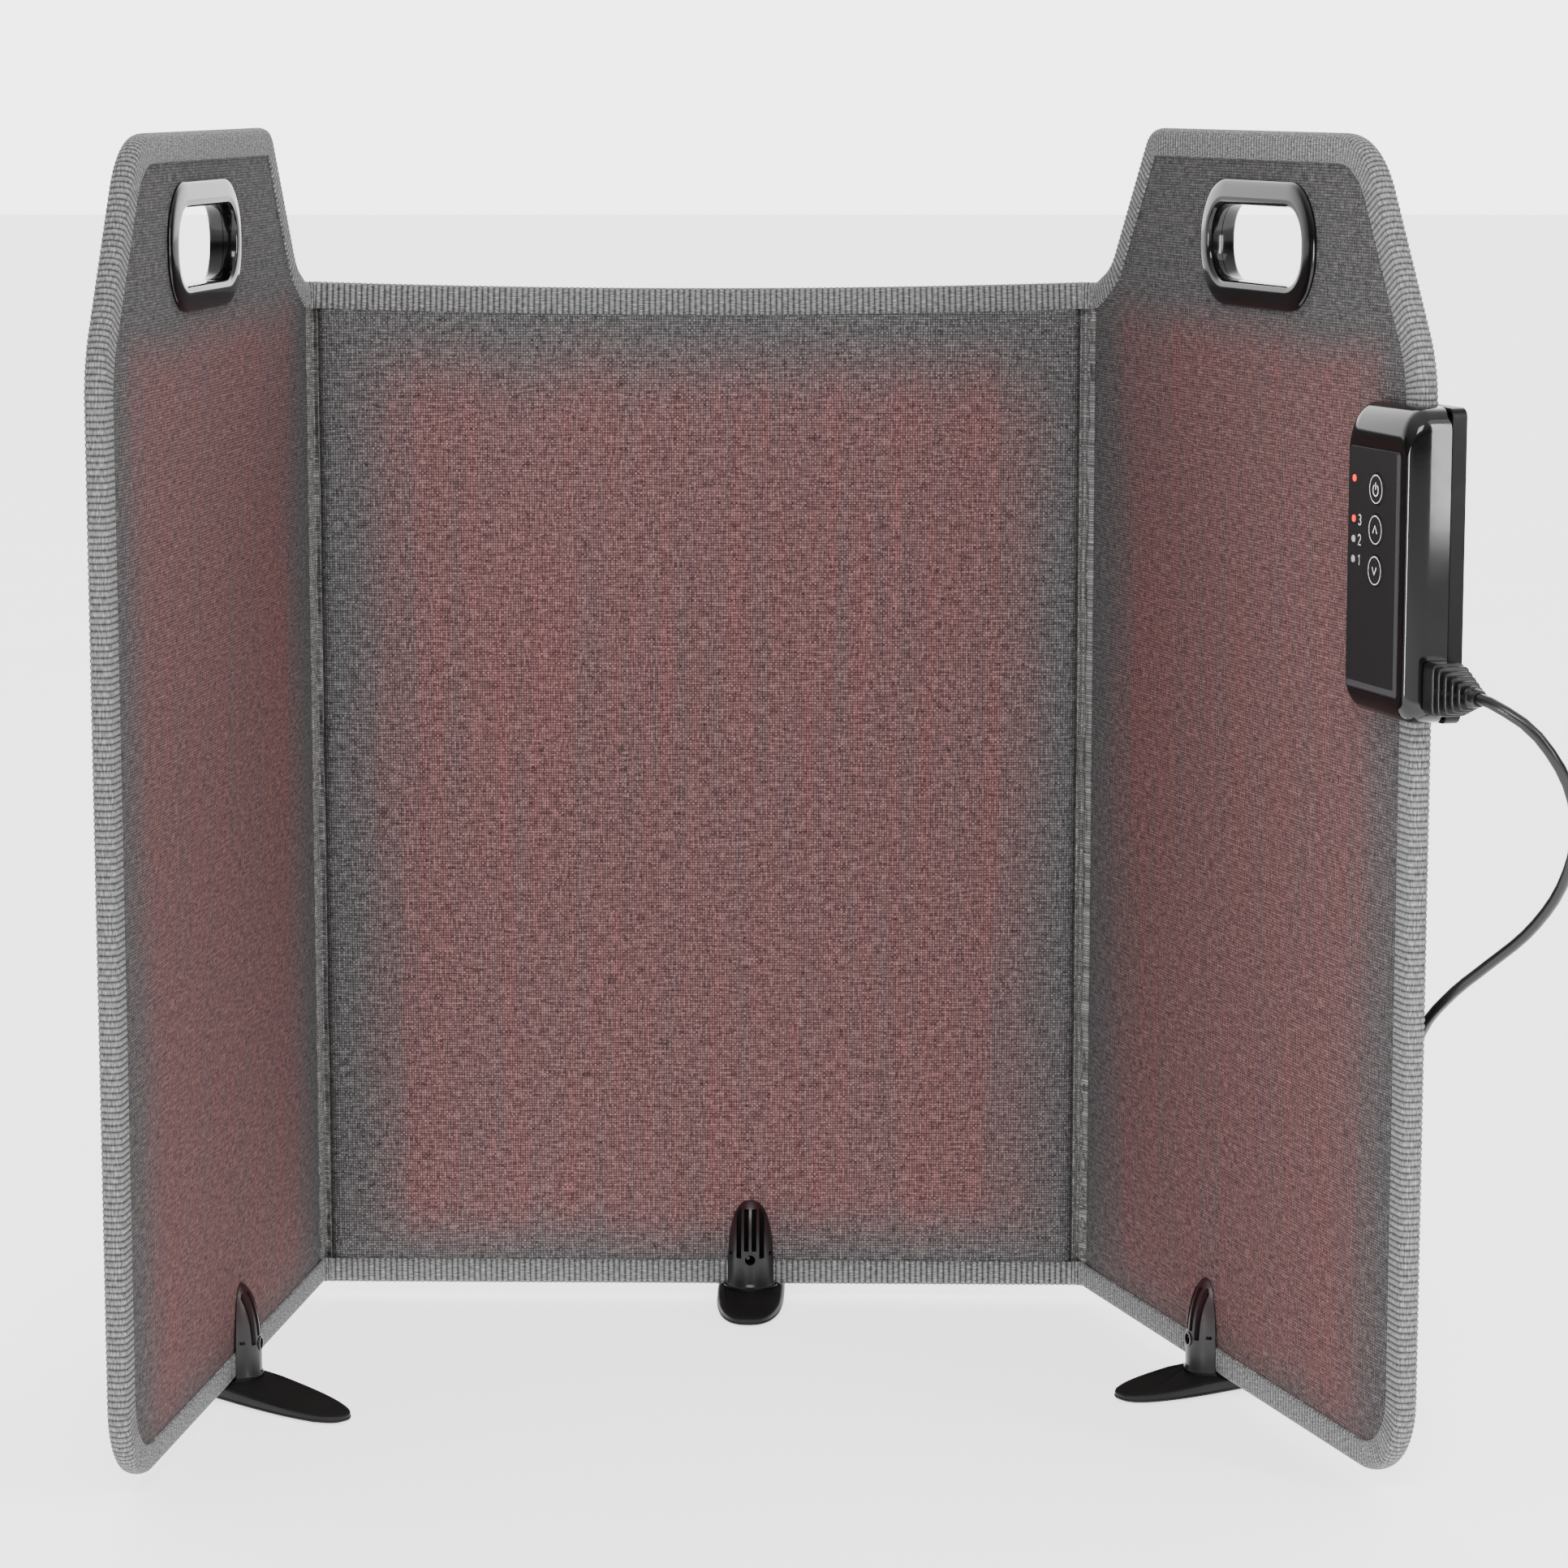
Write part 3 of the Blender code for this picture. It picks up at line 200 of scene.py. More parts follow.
def parted(tree, at, scale=(1.0, 1.0, 1.0)):
    """The three coordinates of a scaled place."""
    return add(tree, "SeparateXYZ", {"Vector": stretched(tree, at, scale)}).outputs


def clouds(tree, at, scale, detail=2.0, **sockets):
    """A noise about 0.5 over a place."""
    return add(tree, "TexNoise", {"Vector": at, "Scale": scale, "Detail": detail,
                                  **sockets}).outputs["Fac"]


def dress(tree, shader, colour, height, strength, distance):
    """Give a shader its colour and the relief of a height."""
    relief = add(tree, "Bump", {"Height": height, "Strength": strength, "Distance": distance})
    tree.links.new(colour, shader.inputs["Base Color"])
    tree.links.new(relief.outputs["Normal"], shader.inputs["Normal"])


# %% [markdown]
# ## Melange polyester
# The covers are a plain weave of heather-grey polyester. Each yarn changes tone along its
# length, because dark and pale fibres were blended before spinning, so short dark dashes run
# both ways. The real yarns are about 0.6 mm apart. They are drawn at 1.2 mm, since a finer
# weave would vanish in a picture 1000 pixels wide. The wings get less light than the centre
# panel, so their cloth is a darker copy with that shade painted in. A vertex attribute says
# how strongly a panel shows its painted red glow over the heated zone.

# %% Fabric
YARN = 0.0012


def melange(name, slub, dark, mid, pale):
    """Woven heather fabric on a UV map that is laid out in metres."""
    made, tree, shader = surface(name, Roughness=0.95, Sheen_Weight=0.03, Sheen_Roughness=0.45,
                                 Specular_IOR_Level=0.08)
    uv = add(tree, "UVMap", uv_map="cloth").outputs["UV"]
    weft = clouds(tree, stretched(tree, uv, (150.0, 0.9 / YARN, 1.0)), 1.0, 3.0)
    warp = clouds(tree, stretched(tree, uv, (0.9 / YARN, 190.0, 1.0)), 1.0, 3.0)
    turns = parted(tree, uv, (math.pi / YARN, math.pi / YARN, 1.0))
    over = maths(tree, "MULTIPLY", *[maths(tree, "SINE", turns[axis]) for axis in "XY"])
    tone = add(tree, "Mix", {"Factor": remap(tree, over, (-0.25, 0.25)), 2: weft, 3: warp},
               data_type="FLOAT").outputs[0]
    body = ramp(tree, tone, (0.22, slub), (0.33, dark), (0.50, mid), (0.68, pale))
    lift = maths(tree, "ABSOLUTE", over)
    woven = blended(tree, 1.0, body, remap(tree, lift, (0.0, 0.55), (0.34, 1.22)), "MULTIPLY")
    # painted red glow: the cloth's colour is turned red where the panel's glow attribute is
    # painted
    painted_red_glow = blended(tree, 1.0, woven, (1.80, 0.86, 0.84, 1.0), "MULTIPLY")
    streak = clouds(tree, stretched(tree, uv, (130.0, 5.0, 1.0)), 1.0)
    painted_glow = add(tree, "Attribute", attribute_name="painted_glow").outputs["Fac"]
    strength = maths(tree, "MULTIPLY", painted_glow, remap(tree, streak, (0.3, 0.7), (0.62, 1.10)),
                     use_clamp=True)
    dress(tree, shader, blended(tree, strength, woven, painted_red_glow), maths(tree, "ADD", lift, tone),
          0.55, 0.0003)
    return made


cloth = melange("woven_polyester_melange", "#161516", "#343334", "#504f50", "#6f6d6d")
# painted shade: the same cloth in darker tones, for the wings that get less light
shaded_wing_cloth = melange("woven_polyester_melange_painted_shade", "#131213", "#2d2c2d", "#454445",
                     "#615f5f")
strip_cloth = melange("woven_hinge_strip", "#222122", "#454444", "#646261", "#888584")
print("fabric yarn spacing mm", YARN * 1000.0)

# %% [markdown]
# ## Ribbed webbing
# The tape folded over every edge is a ribbed polyester webbing. Its ribs are real relief in
# the mesh. The material adds the warp yarns that wrap over each rib, painted shade in the
# grooves and a painted highlight on the ribs. Its UV map runs along the tape in metres.

# %% Webbing, thread and stitches
RIB = 0.0028


def webbing():
    """Ribbed tape: painted highlight on the ribs, painted shade in the grooves, and fine yarns."""
    made, tree, shader = surface("ribbed_polyester_webbing", Roughness=0.85, Sheen_Weight=0.06,
                                 Sheen_Roughness=0.4, Specular_IOR_Level=0.15)
    uv = add(tree, "UVMap", uv_map="cloth").outputs["UV"]
    turns = parted(tree, uv, (math.pi / RIB, math.pi / 0.0009, 1.0))
    rib, yarn = [maths(tree, "ABSOLUTE", maths(tree, "SINE", turns[axis])) for axis in "XY"]
    fibre = clouds(tree, stretched(tree, uv, (300.0, 1500.0, 1.0)), 1.0, 3.0)
    body = ramp(tree, fibre, (0.30, "#4a4a4b"), (0.52, "#6f6f70"), (0.72, "#949493"))
    # painted shade in the grooves, and a painted highlight on the rib tops
    shade = maths(tree, "MULTIPLY", remap(tree, rib, (0.0, 0.95), (0.20, 1.18)),
                  remap(tree, yarn, (0.0, 0.6), (0.93, 1.0)))
    dress(tree, shader, blended(tree, 1.0, body, shade, "MULTIPLY"), yarn, 0.5, 0.00025)
    return made


def twisted_thread():
    """Sewing thread: two strands twisted together, much darker than the tape."""
    made, tree, shader = surface("twisted_polyester_thread", Roughness=0.6, Sheen_Weight=0.2)
    tone = clouds(tree, add(tree, "TexCoord").outputs["Object"], 900.0)
    dress(tree, shader, ramp(tree, tone, (0.35, "#2b2b2c"), (0.65, "#4c4c4d")), tone, 0.4, 0.0002)
    return made


tape = webbing()
thread = twisted_thread()

# %% [markdown]
# ## Plastics and rubber
# The controller and the grommets are polished injection-moulded ABS, which is black and
# shows sharp reflections broken by faint haze. The controller's back shell came from a mould
# with a duller finish, so it stays dark. The clips are satin glass-filled nylon, the
# feet a matt soft-touch moulding, the cord PVC. The floors of the clips' narrow slots get a
# near-black, rough copy of the nylon as painted shade, and the clips' tips get a painted
# reflection of the cloth's red glow. All differ in gloss and in how coarse their
# grain is, so one builder takes those as sizes.

# %% Moulded plastics
def moulded(name, base, pale, rough_low, rough_high, grain, depth, shine=0.5, painted_glow_tint=None):
    """A moulded plastic: a base tone with slight drift, uneven gloss, and a fine grain."""
    made, tree, shader = surface(name, Specular_IOR_Level=shine)
    place_at = add(tree, "TexCoord").outputs["Object"]
    haze = clouds(tree, place_at, 38.0, 5.0, Roughness=0.6)
    fine = clouds(tree, place_at, 1.0 / grain)
    colour = ramp(tree, haze, (0.3, base), (0.75, pale))
    # painted reflection of the cloth's red glow, fading in up the part's height
    if painted_glow_tint:
        near = remap(tree, parted(tree, place_at)["Z"], (0.022, 0.056))
        colour = blended(tree, near, colour, linear(painted_glow_tint))
    tree.links.new(remap(tree, haze, (0.3, 0.7), (rough_low, rough_high)),
                   shader.inputs["Roughness"])
    dress(tree, shader, colour, fine, 0.25, depth)
    return made


gloss_abs = moulded("polished_moulded_abs", "#060606", "#0b0b0c", 0.07, 0.14, 0.004, 0.00002,
                    shine=0.36)
satin_abs = moulded("satin_moulded_abs", "#050505", "#0a0a0a", 0.34, 0.46, 0.0008, 0.00003,
                    shine=0.16)
# the clips get a painted reflection of the red glow on their upper part
satin_nylon = moulded("satin_moulded_nylon", "#121213", "#1b1a1c", 0.30, 0.42, 0.0006, 0.00005,
                      shine=0.42, painted_glow_tint="#2c1216")
# painted shade: a near-black, rough nylon for the floors of the clips' deep slots
painted_slot_shade = moulded("nylon_painted_slot_shade", "#040404", "#080808", 0.85, 0.95, 0.0003, 0.00008,
                     shine=0.15)
matt_nylon = moulded("soft_touch_moulding", "#0a0a0b", "#111112", 0.52, 0.66, 0.0007, 0.00005,
                     shine=0.3)
rubber = moulded("moulded_rubber", "#0d0d0d", "#171716", 0.7, 0.85, 0.0009, 0.00008)
relief_vinyl = moulded("soft_moulded_vinyl", "#090909", "#101011", 0.30, 0.42, 0.0012, 0.00004,
                       shine=0.36)
pvc = moulded("extruded_pvc_sheath", "#0a0a0b", "#121213", 0.24, 0.34, 0.0020, 0.00003,
              shine=0.4)
print("plastics", [m.name for m in (gloss_abs, satin_nylon, matt_nylon, rubber, pvc)])

# %% [markdown]
# ## Small finishes
# The face plate is a printed polycarbonate film, nearly black with a paler strip along its
# outer and lower edges. The print is white ink, the lit lamps glow red, and the unlit ones
# are clear. The inner layers, the circuit board and the plug's blades get their own simple
# patterns, so that a section through the part reads as what it is.

# %% Print, lamps, board and metal
def speckled(name, base, pale, scale, rough=0.5, stretch=(1.0, 1.0, 1.0), **sockets):
    """A finish of two tones, mixed by a noise that may be stretched into a grain."""
    made, tree, shader = surface(name, Roughness=rough, **sockets)
    at = stretched(tree, add(tree, "TexCoord").outputs["Object"], stretch)
    tone = clouds(tree, at, scale, 4.0)
    dress(tree, shader, ramp(tree, tone, (0.35, base), (0.68, pale)), tone, 0.2, 0.00005)
    return made


film_print = speckled("printed_polycarbonate_film", "#161617", "#1b1b1c", 900.0, 0.45,
                      Specular_IOR_Level=0.2)
film_edge = speckled("printed_film_border", "#333335", "#3b3b3d", 900.0, 0.45,
                     Specular_IOR_Level=0.2)
ink = speckled("screen_printed_white_ink", "#dcdcdc", "#f2f2f2", 1500.0, 0.5)
lamp_on = speckled("lit_red_lens", "#e0120c", "#ff2a20", 2000.0, 0.25,
                   Emission_Color=(1.0, 0.02, 0.01, 1.0), Emission_Strength=1.2)
lamp_off = speckled("clear_epoxy_lens", "#8d8d8d", "#b5b5b5", 2000.0, 0.2)
nickel = speckled("nickel_plated_brass", "#b7b2a6", "#d2cec4", 3000.0, 0.24, (1.0, 0.1, 1.0),
                  Metallic=1.0)
zinc = speckled("black_zinc_plated_steel", "#26262a", "#3c3c40", 2500.0, 0.35, Metallic=1.0)
felt = speckled("needled_polyester_felt", "#7d7b76", "#a3a19c", 700.0, 1.0)
film = speckled("carbon_heating_film", "#5a2a12", "#8a4a1e", 60.0, 0.35, (1.0, 1.0, 8.0))
fibreboard = speckled("pressed_fibreboard", "#a6967c", "#c9bb9f", 500.0, 0.85)
board = speckled("solder_masked_board", "#0d4a24", "#16643a", 300.0, 0.4)
switch_body = speckled("moulded_switch_plastic", "#262627", "#39393a", 800.0, 0.5)
hidden = {
    "heating_film": film, "felt_pad": felt, "stiffener": fibreboard, "circuit_board": board,
    "switch_": switch_body, "_pad": rubber, "plug_blade": nickel,
}
for name, piece in nodes.items():
    for part, chosen in hidden.items():
        if part in name:
            for slot in piece.material_slots:
                slot.material = chosen
            break
print("small finishes", len(hidden))

# %% [markdown]
# ## The mains cord
# A thin PVC cord, 4.9 mm across, leaves the strain relief, swings out beside the wing and
# falls behind it to the floor. The rest of its 1.78 m is wound into a small round coil that
# the wing hides. It is one smooth curve with a round bevel, so it can't kink or tear.

# %% Cord
CORD = 0.0049
SHIFT = Vector((CENTRE_X, BACK_Y, 0.0))
route_shares = (
    (0.462, -0.034, 0.972), (0.762, -0.035, 0.930), (0.935, -0.019, 0.888),
    (1.006, 0.004, 0.846), (0.990, 0.030, 0.8045), (0.872, 0.0625, 0.757),
    (0.629, 0.098, 0.7095), (0.286, 0.136, 0.666), (-0.041, 0.177, 0.623),
    (-0.298, 0.2255, 0.570), (-0.424, 0.280, 0.489), (-0.446, 0.3395, 0.3715),
    (-0.381, 0.402, 0.2374), (-0.240, 0.465, 0.1173), (-0.077, 0.5325, 0.039),
    (0.017, 0.606, 0.0), (0.038, 0.693, 0.0), (0.026, 0.802, 0.0), (0.014, 0.910, 0.0),
)


def soft_step(value):
    """Ease from 0 to 1 and stay there."""
    value = min(max(value, 0.0), 1.0)
    return value * value * (3.0 - 2.0 * value)


def wire(name, points, width, resolution, closed=False):
    """A round curve through points, as an object in the scene."""
    curve = bpy.data.curves.new(name, "CURVE")
    curve.dimensions = "3D"
    curve.bevel_depth = width / 2.0
    curve.bevel_resolution = resolution
    curve.use_fill_caps = not closed
    spline = curve.splines.new("POLY")
    spline.points.add(len(points) - 1)
    for point, at in zip(spline.points, points):
        point.co = (*at, 1.0)
    spline.use_cyclic_u = closed
    return linked(name, curve)


def eased(points, step):
    """Evenly spaced points along a smooth curve through chosen ones."""
    dense = []
    for index in range(len(points) - 1):
        p0, p1 = points[max(index - 1, 0)], points[index]
        p2, p3 = points[index + 1], points[min(index + 2, len(points) - 1)]
        for part in range(24):
            t = part / 24.0
            dense.append(0.5 * (2.0 * p1 + (p2 - p0) * t
                                + (2.0 * p0 - 5.0 * p1 + 4.0 * p2 - p3) * t ** 2
                                + (3.0 * p1 - p0 - 3.0 * p2 + p3) * t ** 3))
    dense.append(points[-1])
    return spaced(dense, step)


def spaced(points, step, closed=False):
    """The same polyline walked at even steps; a closed one ends where it starts."""
    if closed:
        points = points + points[:1]
    total = sum((b - a).length for a, b in zip(points, points[1:]))
    count = max(2, round(total / step))
    stride = total / count
    even, walked = [points[0]], 0.0
    for a, b in zip(points, points[1:]):
        span = (b - a).length
        while walked + span >= stride * len(even) and len(even) < count:
            even.append(a.lerp(b, (stride * len(even) - walked) / span))
        walked += span
    return even + [points[-1]]


root = FRAMES["right"] @ Vector((-0.4186, 0.0040, 0.350)) - SHIFT
ahead = FRAMES["right"] @ Vector((-0.4240, 0.0040, 0.350)) - SHIFT
coil_centre, coil_radius, coil_turns, pitch = Vector((0.300, -0.015)), 0.038, 6, 0.0055
low = CORD / 2.0 + 0.0003
coil = [Vector((coil_centre.x + coil_radius, coil_centre.y - 0.012, low))]
for index in range(coil_turns * 48 + 1):
    share = index / (coil_turns * 48)
    angle = coil_turns * 2.0 * math.pi * share
    radius = coil_radius - pitch * (1.0 - abs(2.0 * share - 1.0)) * coil_turns / 2.0
    climb = soft_step((share - 0.5) * coil_turns * 2.0 + 0.5)
    coil.append(Vector((coil_centre.x + radius * math.cos(angle),
                        coil_centre.y + radius * math.sin(angle), low + pitch * climb)))
coil.append(coil[-1] + Vector((0.0, 0.028, 0.0)))
route = [root, ahead]
for out, along, up in route_shares:
    at = root.lerp(coil[0], along)
    route.append(Vector((at.x + 0.040 * out, at.y, max(root.z * up, low))))
route += [coil[0] - Vector((0.0, 0.012, 0.0)), coil[0]]
line = eased(route, 0.008) + coil[1:]
length = sum((b - a).length for a, b in zip(line, line[1:]))

mains = wire("mains_cord_sheath", [at + SHIFT for at in line], CORD, 5)
mains.data.materials.append(pvc)
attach(mains, "wing_right")
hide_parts("mains_cord", "cord_coil")
print("cord m", round(length, 3), "points", len(line))

# %% [markdown]
# ## Outlines and bands
# Every panel is drawn as an outline with rounded corners. Two helpers do most of the sewing:
# spaced, above, walks an outline at even steps, and band lays a flat grid along that walk
# and rolls it to a section, which makes tape and grommets alike.

# %% Outline and band helpers
def grid(columns, rows):
    """A flat grid one metre square about the origin, and its UV layer."""
    shape = bmesh.new()
    layer = shape.loops.layers.uv.new("cloth")
    bmesh.ops.create_grid(shape, x_segments=columns, y_segments=rows, size=0.5)
    return shape, layer


def oblong(left, right, bottom, top, radius):
    """Corners of a rectangle, each with its radius, for the helper below."""
    return [(left, bottom, radius), (right, bottom, radius), (right, top, radius),
            (left, top, radius)]


def rounded(corners, steps, closed=True):
    """An outline whose corners, each (x, z, radius), are turned as arcs."""
    points, count = [], len(corners)
    for index in range(count):
        here = Vector(corners[index][:2])
        if not closed and index in (0, count - 1):
            points.append(here)
            continue
        radius = corners[index][2]
        back = (Vector(corners[index - 1][:2]) - here).normalized()
        onward = (Vector(corners[(index + 1) % count][:2]) - here).normalized()
        half = back.angle(onward) / 2.0
        middle = here + (back + onward).normalized() * (radius / math.sin(half))
        first = here + back * (radius / math.tan(half)) - middle
        last = here + onward * (radius / math.tan(half)) - middle
        sweep = math.atan2(first.x * last.y - first.y * last.x, first.dot(last))
        for step in range(steps + 1):
            points.append(middle + Matrix.Rotation(sweep * step / steps, 2) @ first)
    return points


def stations(points, step, closed=False):
    """Walk an outline: at each step its place, the way inwards, and the distance walked."""
    walk = spaced(points, step, closed)
    found, count = [], len(walk)
    for index, here in enumerate(walk):
        before = walk[index - 1] if index or not closed else walk[-2]
        after = walk[(index + 1) % count] if index < count - 1 or not closed else walk[1]
        if not closed and index == 0:
            before = here
        if not closed and index == count - 1:
            after = here
        along = (after - before).normalized()
        found.append((here, Vector((-along.y, along.x))))
    total = sum((b - a).length for a, b in zip(walk, walk[1:]))
    return [(at, inward, total * i / (count - 1)) for i, (at, inward) in enumerate(found)]


def band(walk, section, closed=False):
    """Roll a grid along a walk. The section gives (inset, depth) at a distance along it."""
    rows, columns = len(walk), len(section(0.0)) + 1
    shape, layer = grid(rows - 1, columns - 1)
    slots = {v: (round((v.co.x + 0.5) * (rows - 1)), round((v.co.y + 0.5) * (columns - 1)))
             for v in shape.verts}
    sections = [section(distance) for _, _, distance in walk]
    around = [0.0]
    for a, b in zip(sections[0], sections[0][1:] + sections[0][:1]):
        around.append(around[-1] + (Vector(b) - Vector(a)).length)
    for face in shape.faces:
        for loop in face.loops:
            i, j = slots[loop.vert]
            loop[layer].uv = (walk[i][2], around[j])
    for vertex, (i, j) in slots.items():
        at, inward, _ = walk[i]
        inset, depth = sections[i][j % len(sections[i])]
        spot = at + inward * inset
        vertex.co = (spot.x, depth, spot.y)
    bmesh.ops.remove_doubles(shape, verts=shape.verts, dist=0.000005)
    if not closed:
        bmesh.ops.holes_fill(shape, edges=[e for e in shape.edges if e.is_boundary])
    return shape


wing_corners = [
    (HINGE, 0.0, 0.0), (WING, 0.0, 0.038), (WING, 0.481, 0.057), (0.303, 0.575, 0.046),
    (0.0735, 0.575, 0.017), (0.028, 0.509, 0.0295), (HINGE, TOP, 0.0),
]
wing_edge = rounded(wing_corners, 24, closed=False)


def sagging_top(x):
    """Height of the centre panel's top edge, which sags a little between its hinges."""
    return TOP - SAG * (1.0 - (x / HALF) ** 2)


def centre_edge(top):
    """The centre panel's top or bottom edge, walked with the panel on its left."""
    way, spans = -1.0 if top else 1.0, [HALF * (i / 40.0 - 1.0) for i in range(81)]
    return [Vector((way * x, sagging_top(x) if top else 0.0)) for x in spans]


# %% [markdown]
# ## Binding tape
# The tape is folded in half over each edge and sewn through. Its ribs run across the tape,
# 2.8 mm apart, and bulge where they turn over the edge, which gives the outline its
# scalloped look. The section swells and shrinks along the walk to raise the ribs.

# %% Binding tape
def tape_section(distance):
    """The folded tape's section at a distance along it: two faces and a rounded fold."""
    ridge = 0.00070 * abs(math.sin(math.pi * distance / RIB)) ** 0.7
    outer, fold = 0.0043 + ridge, 0.0030
    points = [(BAND, 0.0040), (BAND - 0.0005, outer), (BAND * 0.62, outer), (fold, outer)]
    for step in range(1, 8):
        turn = math.pi * step / 8.0
        points.append((fold - (fold + ridge * 0.7) * math.sin(turn) ** 0.8,
                       outer * math.cos(turn)))
    points += [(fold, -outer), (BAND * 0.62, -outer), (BAND - 0.0005, -outer), (BAND, -0.0040)]
    points += [(fold + 0.0006, -0.0040), (fold - 0.0014, 0.0), (fold + 0.0006, 0.0040)]
    return points


def mirrored(shape):
    """Swap a left-hand shape for a right-hand one."""
    bmesh.ops.scale(shape, vec=(-1.0, 1.0, 1.0), verts=shape.verts)
    bmesh.ops.reverse_faces(shape, faces=shape.faces)
    return shape


for side in ("left", "right"):
    shape = band(stations(wing_edge, RIB / 4.0), tape_section)
    if side == "right":
        mirrored(shape)
    piece = place(side + "_edge_tape", shape, tape, BODIES[side], FRAMES[side], 60.0)
    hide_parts(side + "_binding")
    print(piece.name, len(piece.data.polygons))
for label in ("top", "bottom"):
    name, node = "centre_" + label + "_tape", "centre_" + label + "_binding"
    shape = band(stations(centre_edge(label == "top"), RIB / 4.0), tape_section)
    piece = place(name, shape, tape, "centre_panel", FRAMES["centre"], 60.0)
    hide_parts(node)
    print(piece.name, len(piece.data.polygons))

# %% [markdown]
# ## Padded covers
# Each cover starts as a flat grid that is squeezed, row by row, into the panel's outline.
# It rises softly from the tape, because the felt under it is thicker than the sewn edge, and
# rolls down to the seam at a hinge, with short puckers where the seam gathers the cloth. The
# painted red glow is laid on the front covers only.

# %% Covers
def outline_span(points, z):
    """Where a closed outline is crossed at a height: its least and greatest x."""
    found = []
    for a, b in zip(points, points[1:] + points[:1]):
        if (a.y - z) * (b.y - z) <= 0.0 and a.y != b.y:
            found.append(a.x + (b.x - a.x) * (z - a.y) / (b.y - a.y))
    return min(found), max(found)


GRIP_SPAN, GRIP_LEVEL, GRIP_TURN = (0.148, 0.246), (0.5085, 0.5425), 0.0155
GRIP = rounded(oblong(*GRIP_SPAN, *GRIP_LEVEL, GRIP_TURN), 16)


def grip_distance(x, z):
    """Distance outside the hand hole's edge, negative within it."""
    past = [max(abs(value - (low + high) / 2.0) - (high - low) / 2.0 + GRIP_TURN, 0.0)
            for value, (low, high) in ((x, GRIP_SPAN), (z, GRIP_LEVEL))]
    return math.hypot(*past) - GRIP_TURN


TAB, SHOULDER, TUCK = 0.575, 0.501, 0.0045
WING_GLOW = (0.012, 0.352, -0.006, 0.502, 0.068, 0.030)
CENTRE_GLOW = (-0.186, 0.182, 0.006, 0.486, 0.052, 0.055)


def glow(x, z, low, high, bottom, top, side, head):
    """How strongly the painted red glow shows at a place, soft over a width at sides and head."""
    drift = noise.noise(Vector((x * 18.0, z * 9.0, 3.0))) * 0.010
    across = soft_step((x + drift - low) / side) * soft_step((high - x + drift) / side)
    upright = soft_step((z + drift - bottom) / 0.040) * soft_step((top - z + drift) / head)
    return across * upright


def thicken(piece, thickness):
    """Give a cloth its thickness, inwards from its face."""
    wall = piece.modifiers.new("cloth_thickness", "SOLIDIFY")
    wall.thickness = thickness
    wall.offset = -1.0


def cover(side, facing):
    """One cover of a panel: facing is 1 for the heated face and -1 for the rear."""
    wing = side != "centre"
    if wing:
        edge = rounded([(x, z, r) for x, z, r in wing_corners[:-1]] + [(HINGE, TOP, 0.002)], 16,
                       closed=False)
    columns, rows = (96, 150) if wing else (110, 130)
    bottom, top = TUCK, (TAB if wing else TOP) - TUCK
    shape, layer = grid(columns, rows)
    # per-vertex strength of the painted red glow, set on the front covers only
    heat = shape.verts.layers.float.new("painted_glow")
    for vertex in shape.verts:
        s, t = vertex.co.x + 0.5, vertex.co.y + 0.5
        z = bottom + (top - bottom) * t
        if wing:
            low, high = outline_span(edge, z)
            low = low + (TUCK if z > SHOULDER else 0.0)
            high = high - TUCK
            x = low + (high - low) * s
            hinge = x - HINGE if z <= SHOULDER else 1.0
            rim = min(high + TUCK - x, z, TAB - z, (x - low) if z > SHOULDER else 1.0)
            hole = grip_distance(x, z)
        else:
            z = bottom + (sagging_top(0.0) - TUCK - bottom) * t
            low, high = -HALF, HALF
            x = low + (high - low) * s
            z += (sagging_top(x) - sagging_top(0.0)) * t
            hinge = HALF - abs(x)
            rim = min(z, sagging_top(x) - z)
            hole = 1.0
        rise = soft_step((rim - BAND + 0.001) / 0.030) * soft_step((hole - 0.010) / 0.020)
        rise *= soft_step((hinge - 0.002) / 0.030)
        swell = 0.00085 * rise * (1.0 + 0.35 * noise.noise(Vector((x * 14.0, z * 9.0, facing))))
        reach = 0.0045 if wing else 0.0050 + 0.0022 * noise.noise(Vector((z * 24.0, 2.0, 7.0)))
        seam = 0.0024 if wing else 0.0008
        roll = math.sqrt(1.0 - (1.0 - min(hinge / reach, 1.0)) ** 2)
        depth = seam + (FACE - seam) * roll + swell
        gather = math.exp(-hinge / 0.014) * soft_step(hinge / 0.003)
        ripple = z * 2.0 * math.pi / 0.016 + 2.2 * noise.noise(Vector((z * 22.0, x * 9.0, 1.0)))
        depth += (0.00030 + 0.00050 * math.exp(-z / 0.060)) * gather * math.sin(ripple)
        vertex.co = (x, facing * min(depth, 0.00505), z)
        if facing > 0.0:
            vertex[heat] = glow(x, z, *WING_GLOW) if wing else 0.88 * glow(x, z, *CENTRE_GLOW)
    spent = [f for f in shape.faces
             if wing and grip_distance(f.calc_center_median().x, f.calc_center_median().z) < 0.004]
    bmesh.ops.delete(shape, geom=spent, context="FACES")
    for face in shape.faces:
        for loop in face.loops:
            loop[layer].uv = (loop.vert.co.x, loop.vert.co.z)
    first = next(iter(shape.faces))
    if first.normal.y * facing < 0.0:
        bmesh.ops.reverse_faces(shape, faces=shape.faces)
    if side == "right":
        mirrored(shape)
    label = "front" if facing > 0.0 else "rear"
    piece = place(side + "_" + label + "_cloth", shape, shaded_wing_cloth if wing else cloth,
                  BODIES[side], FRAMES[side], 60.0, recalc=False)
    thicken(piece, COVER_THICK)
    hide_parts(side + "_" + label + "_cover")
    return piece


for side in ("left", "centre", "right"):
    for facing in (1.0, -1.0):
        made = cover(side, facing)
        print(made.name, len(made.data.polygons))

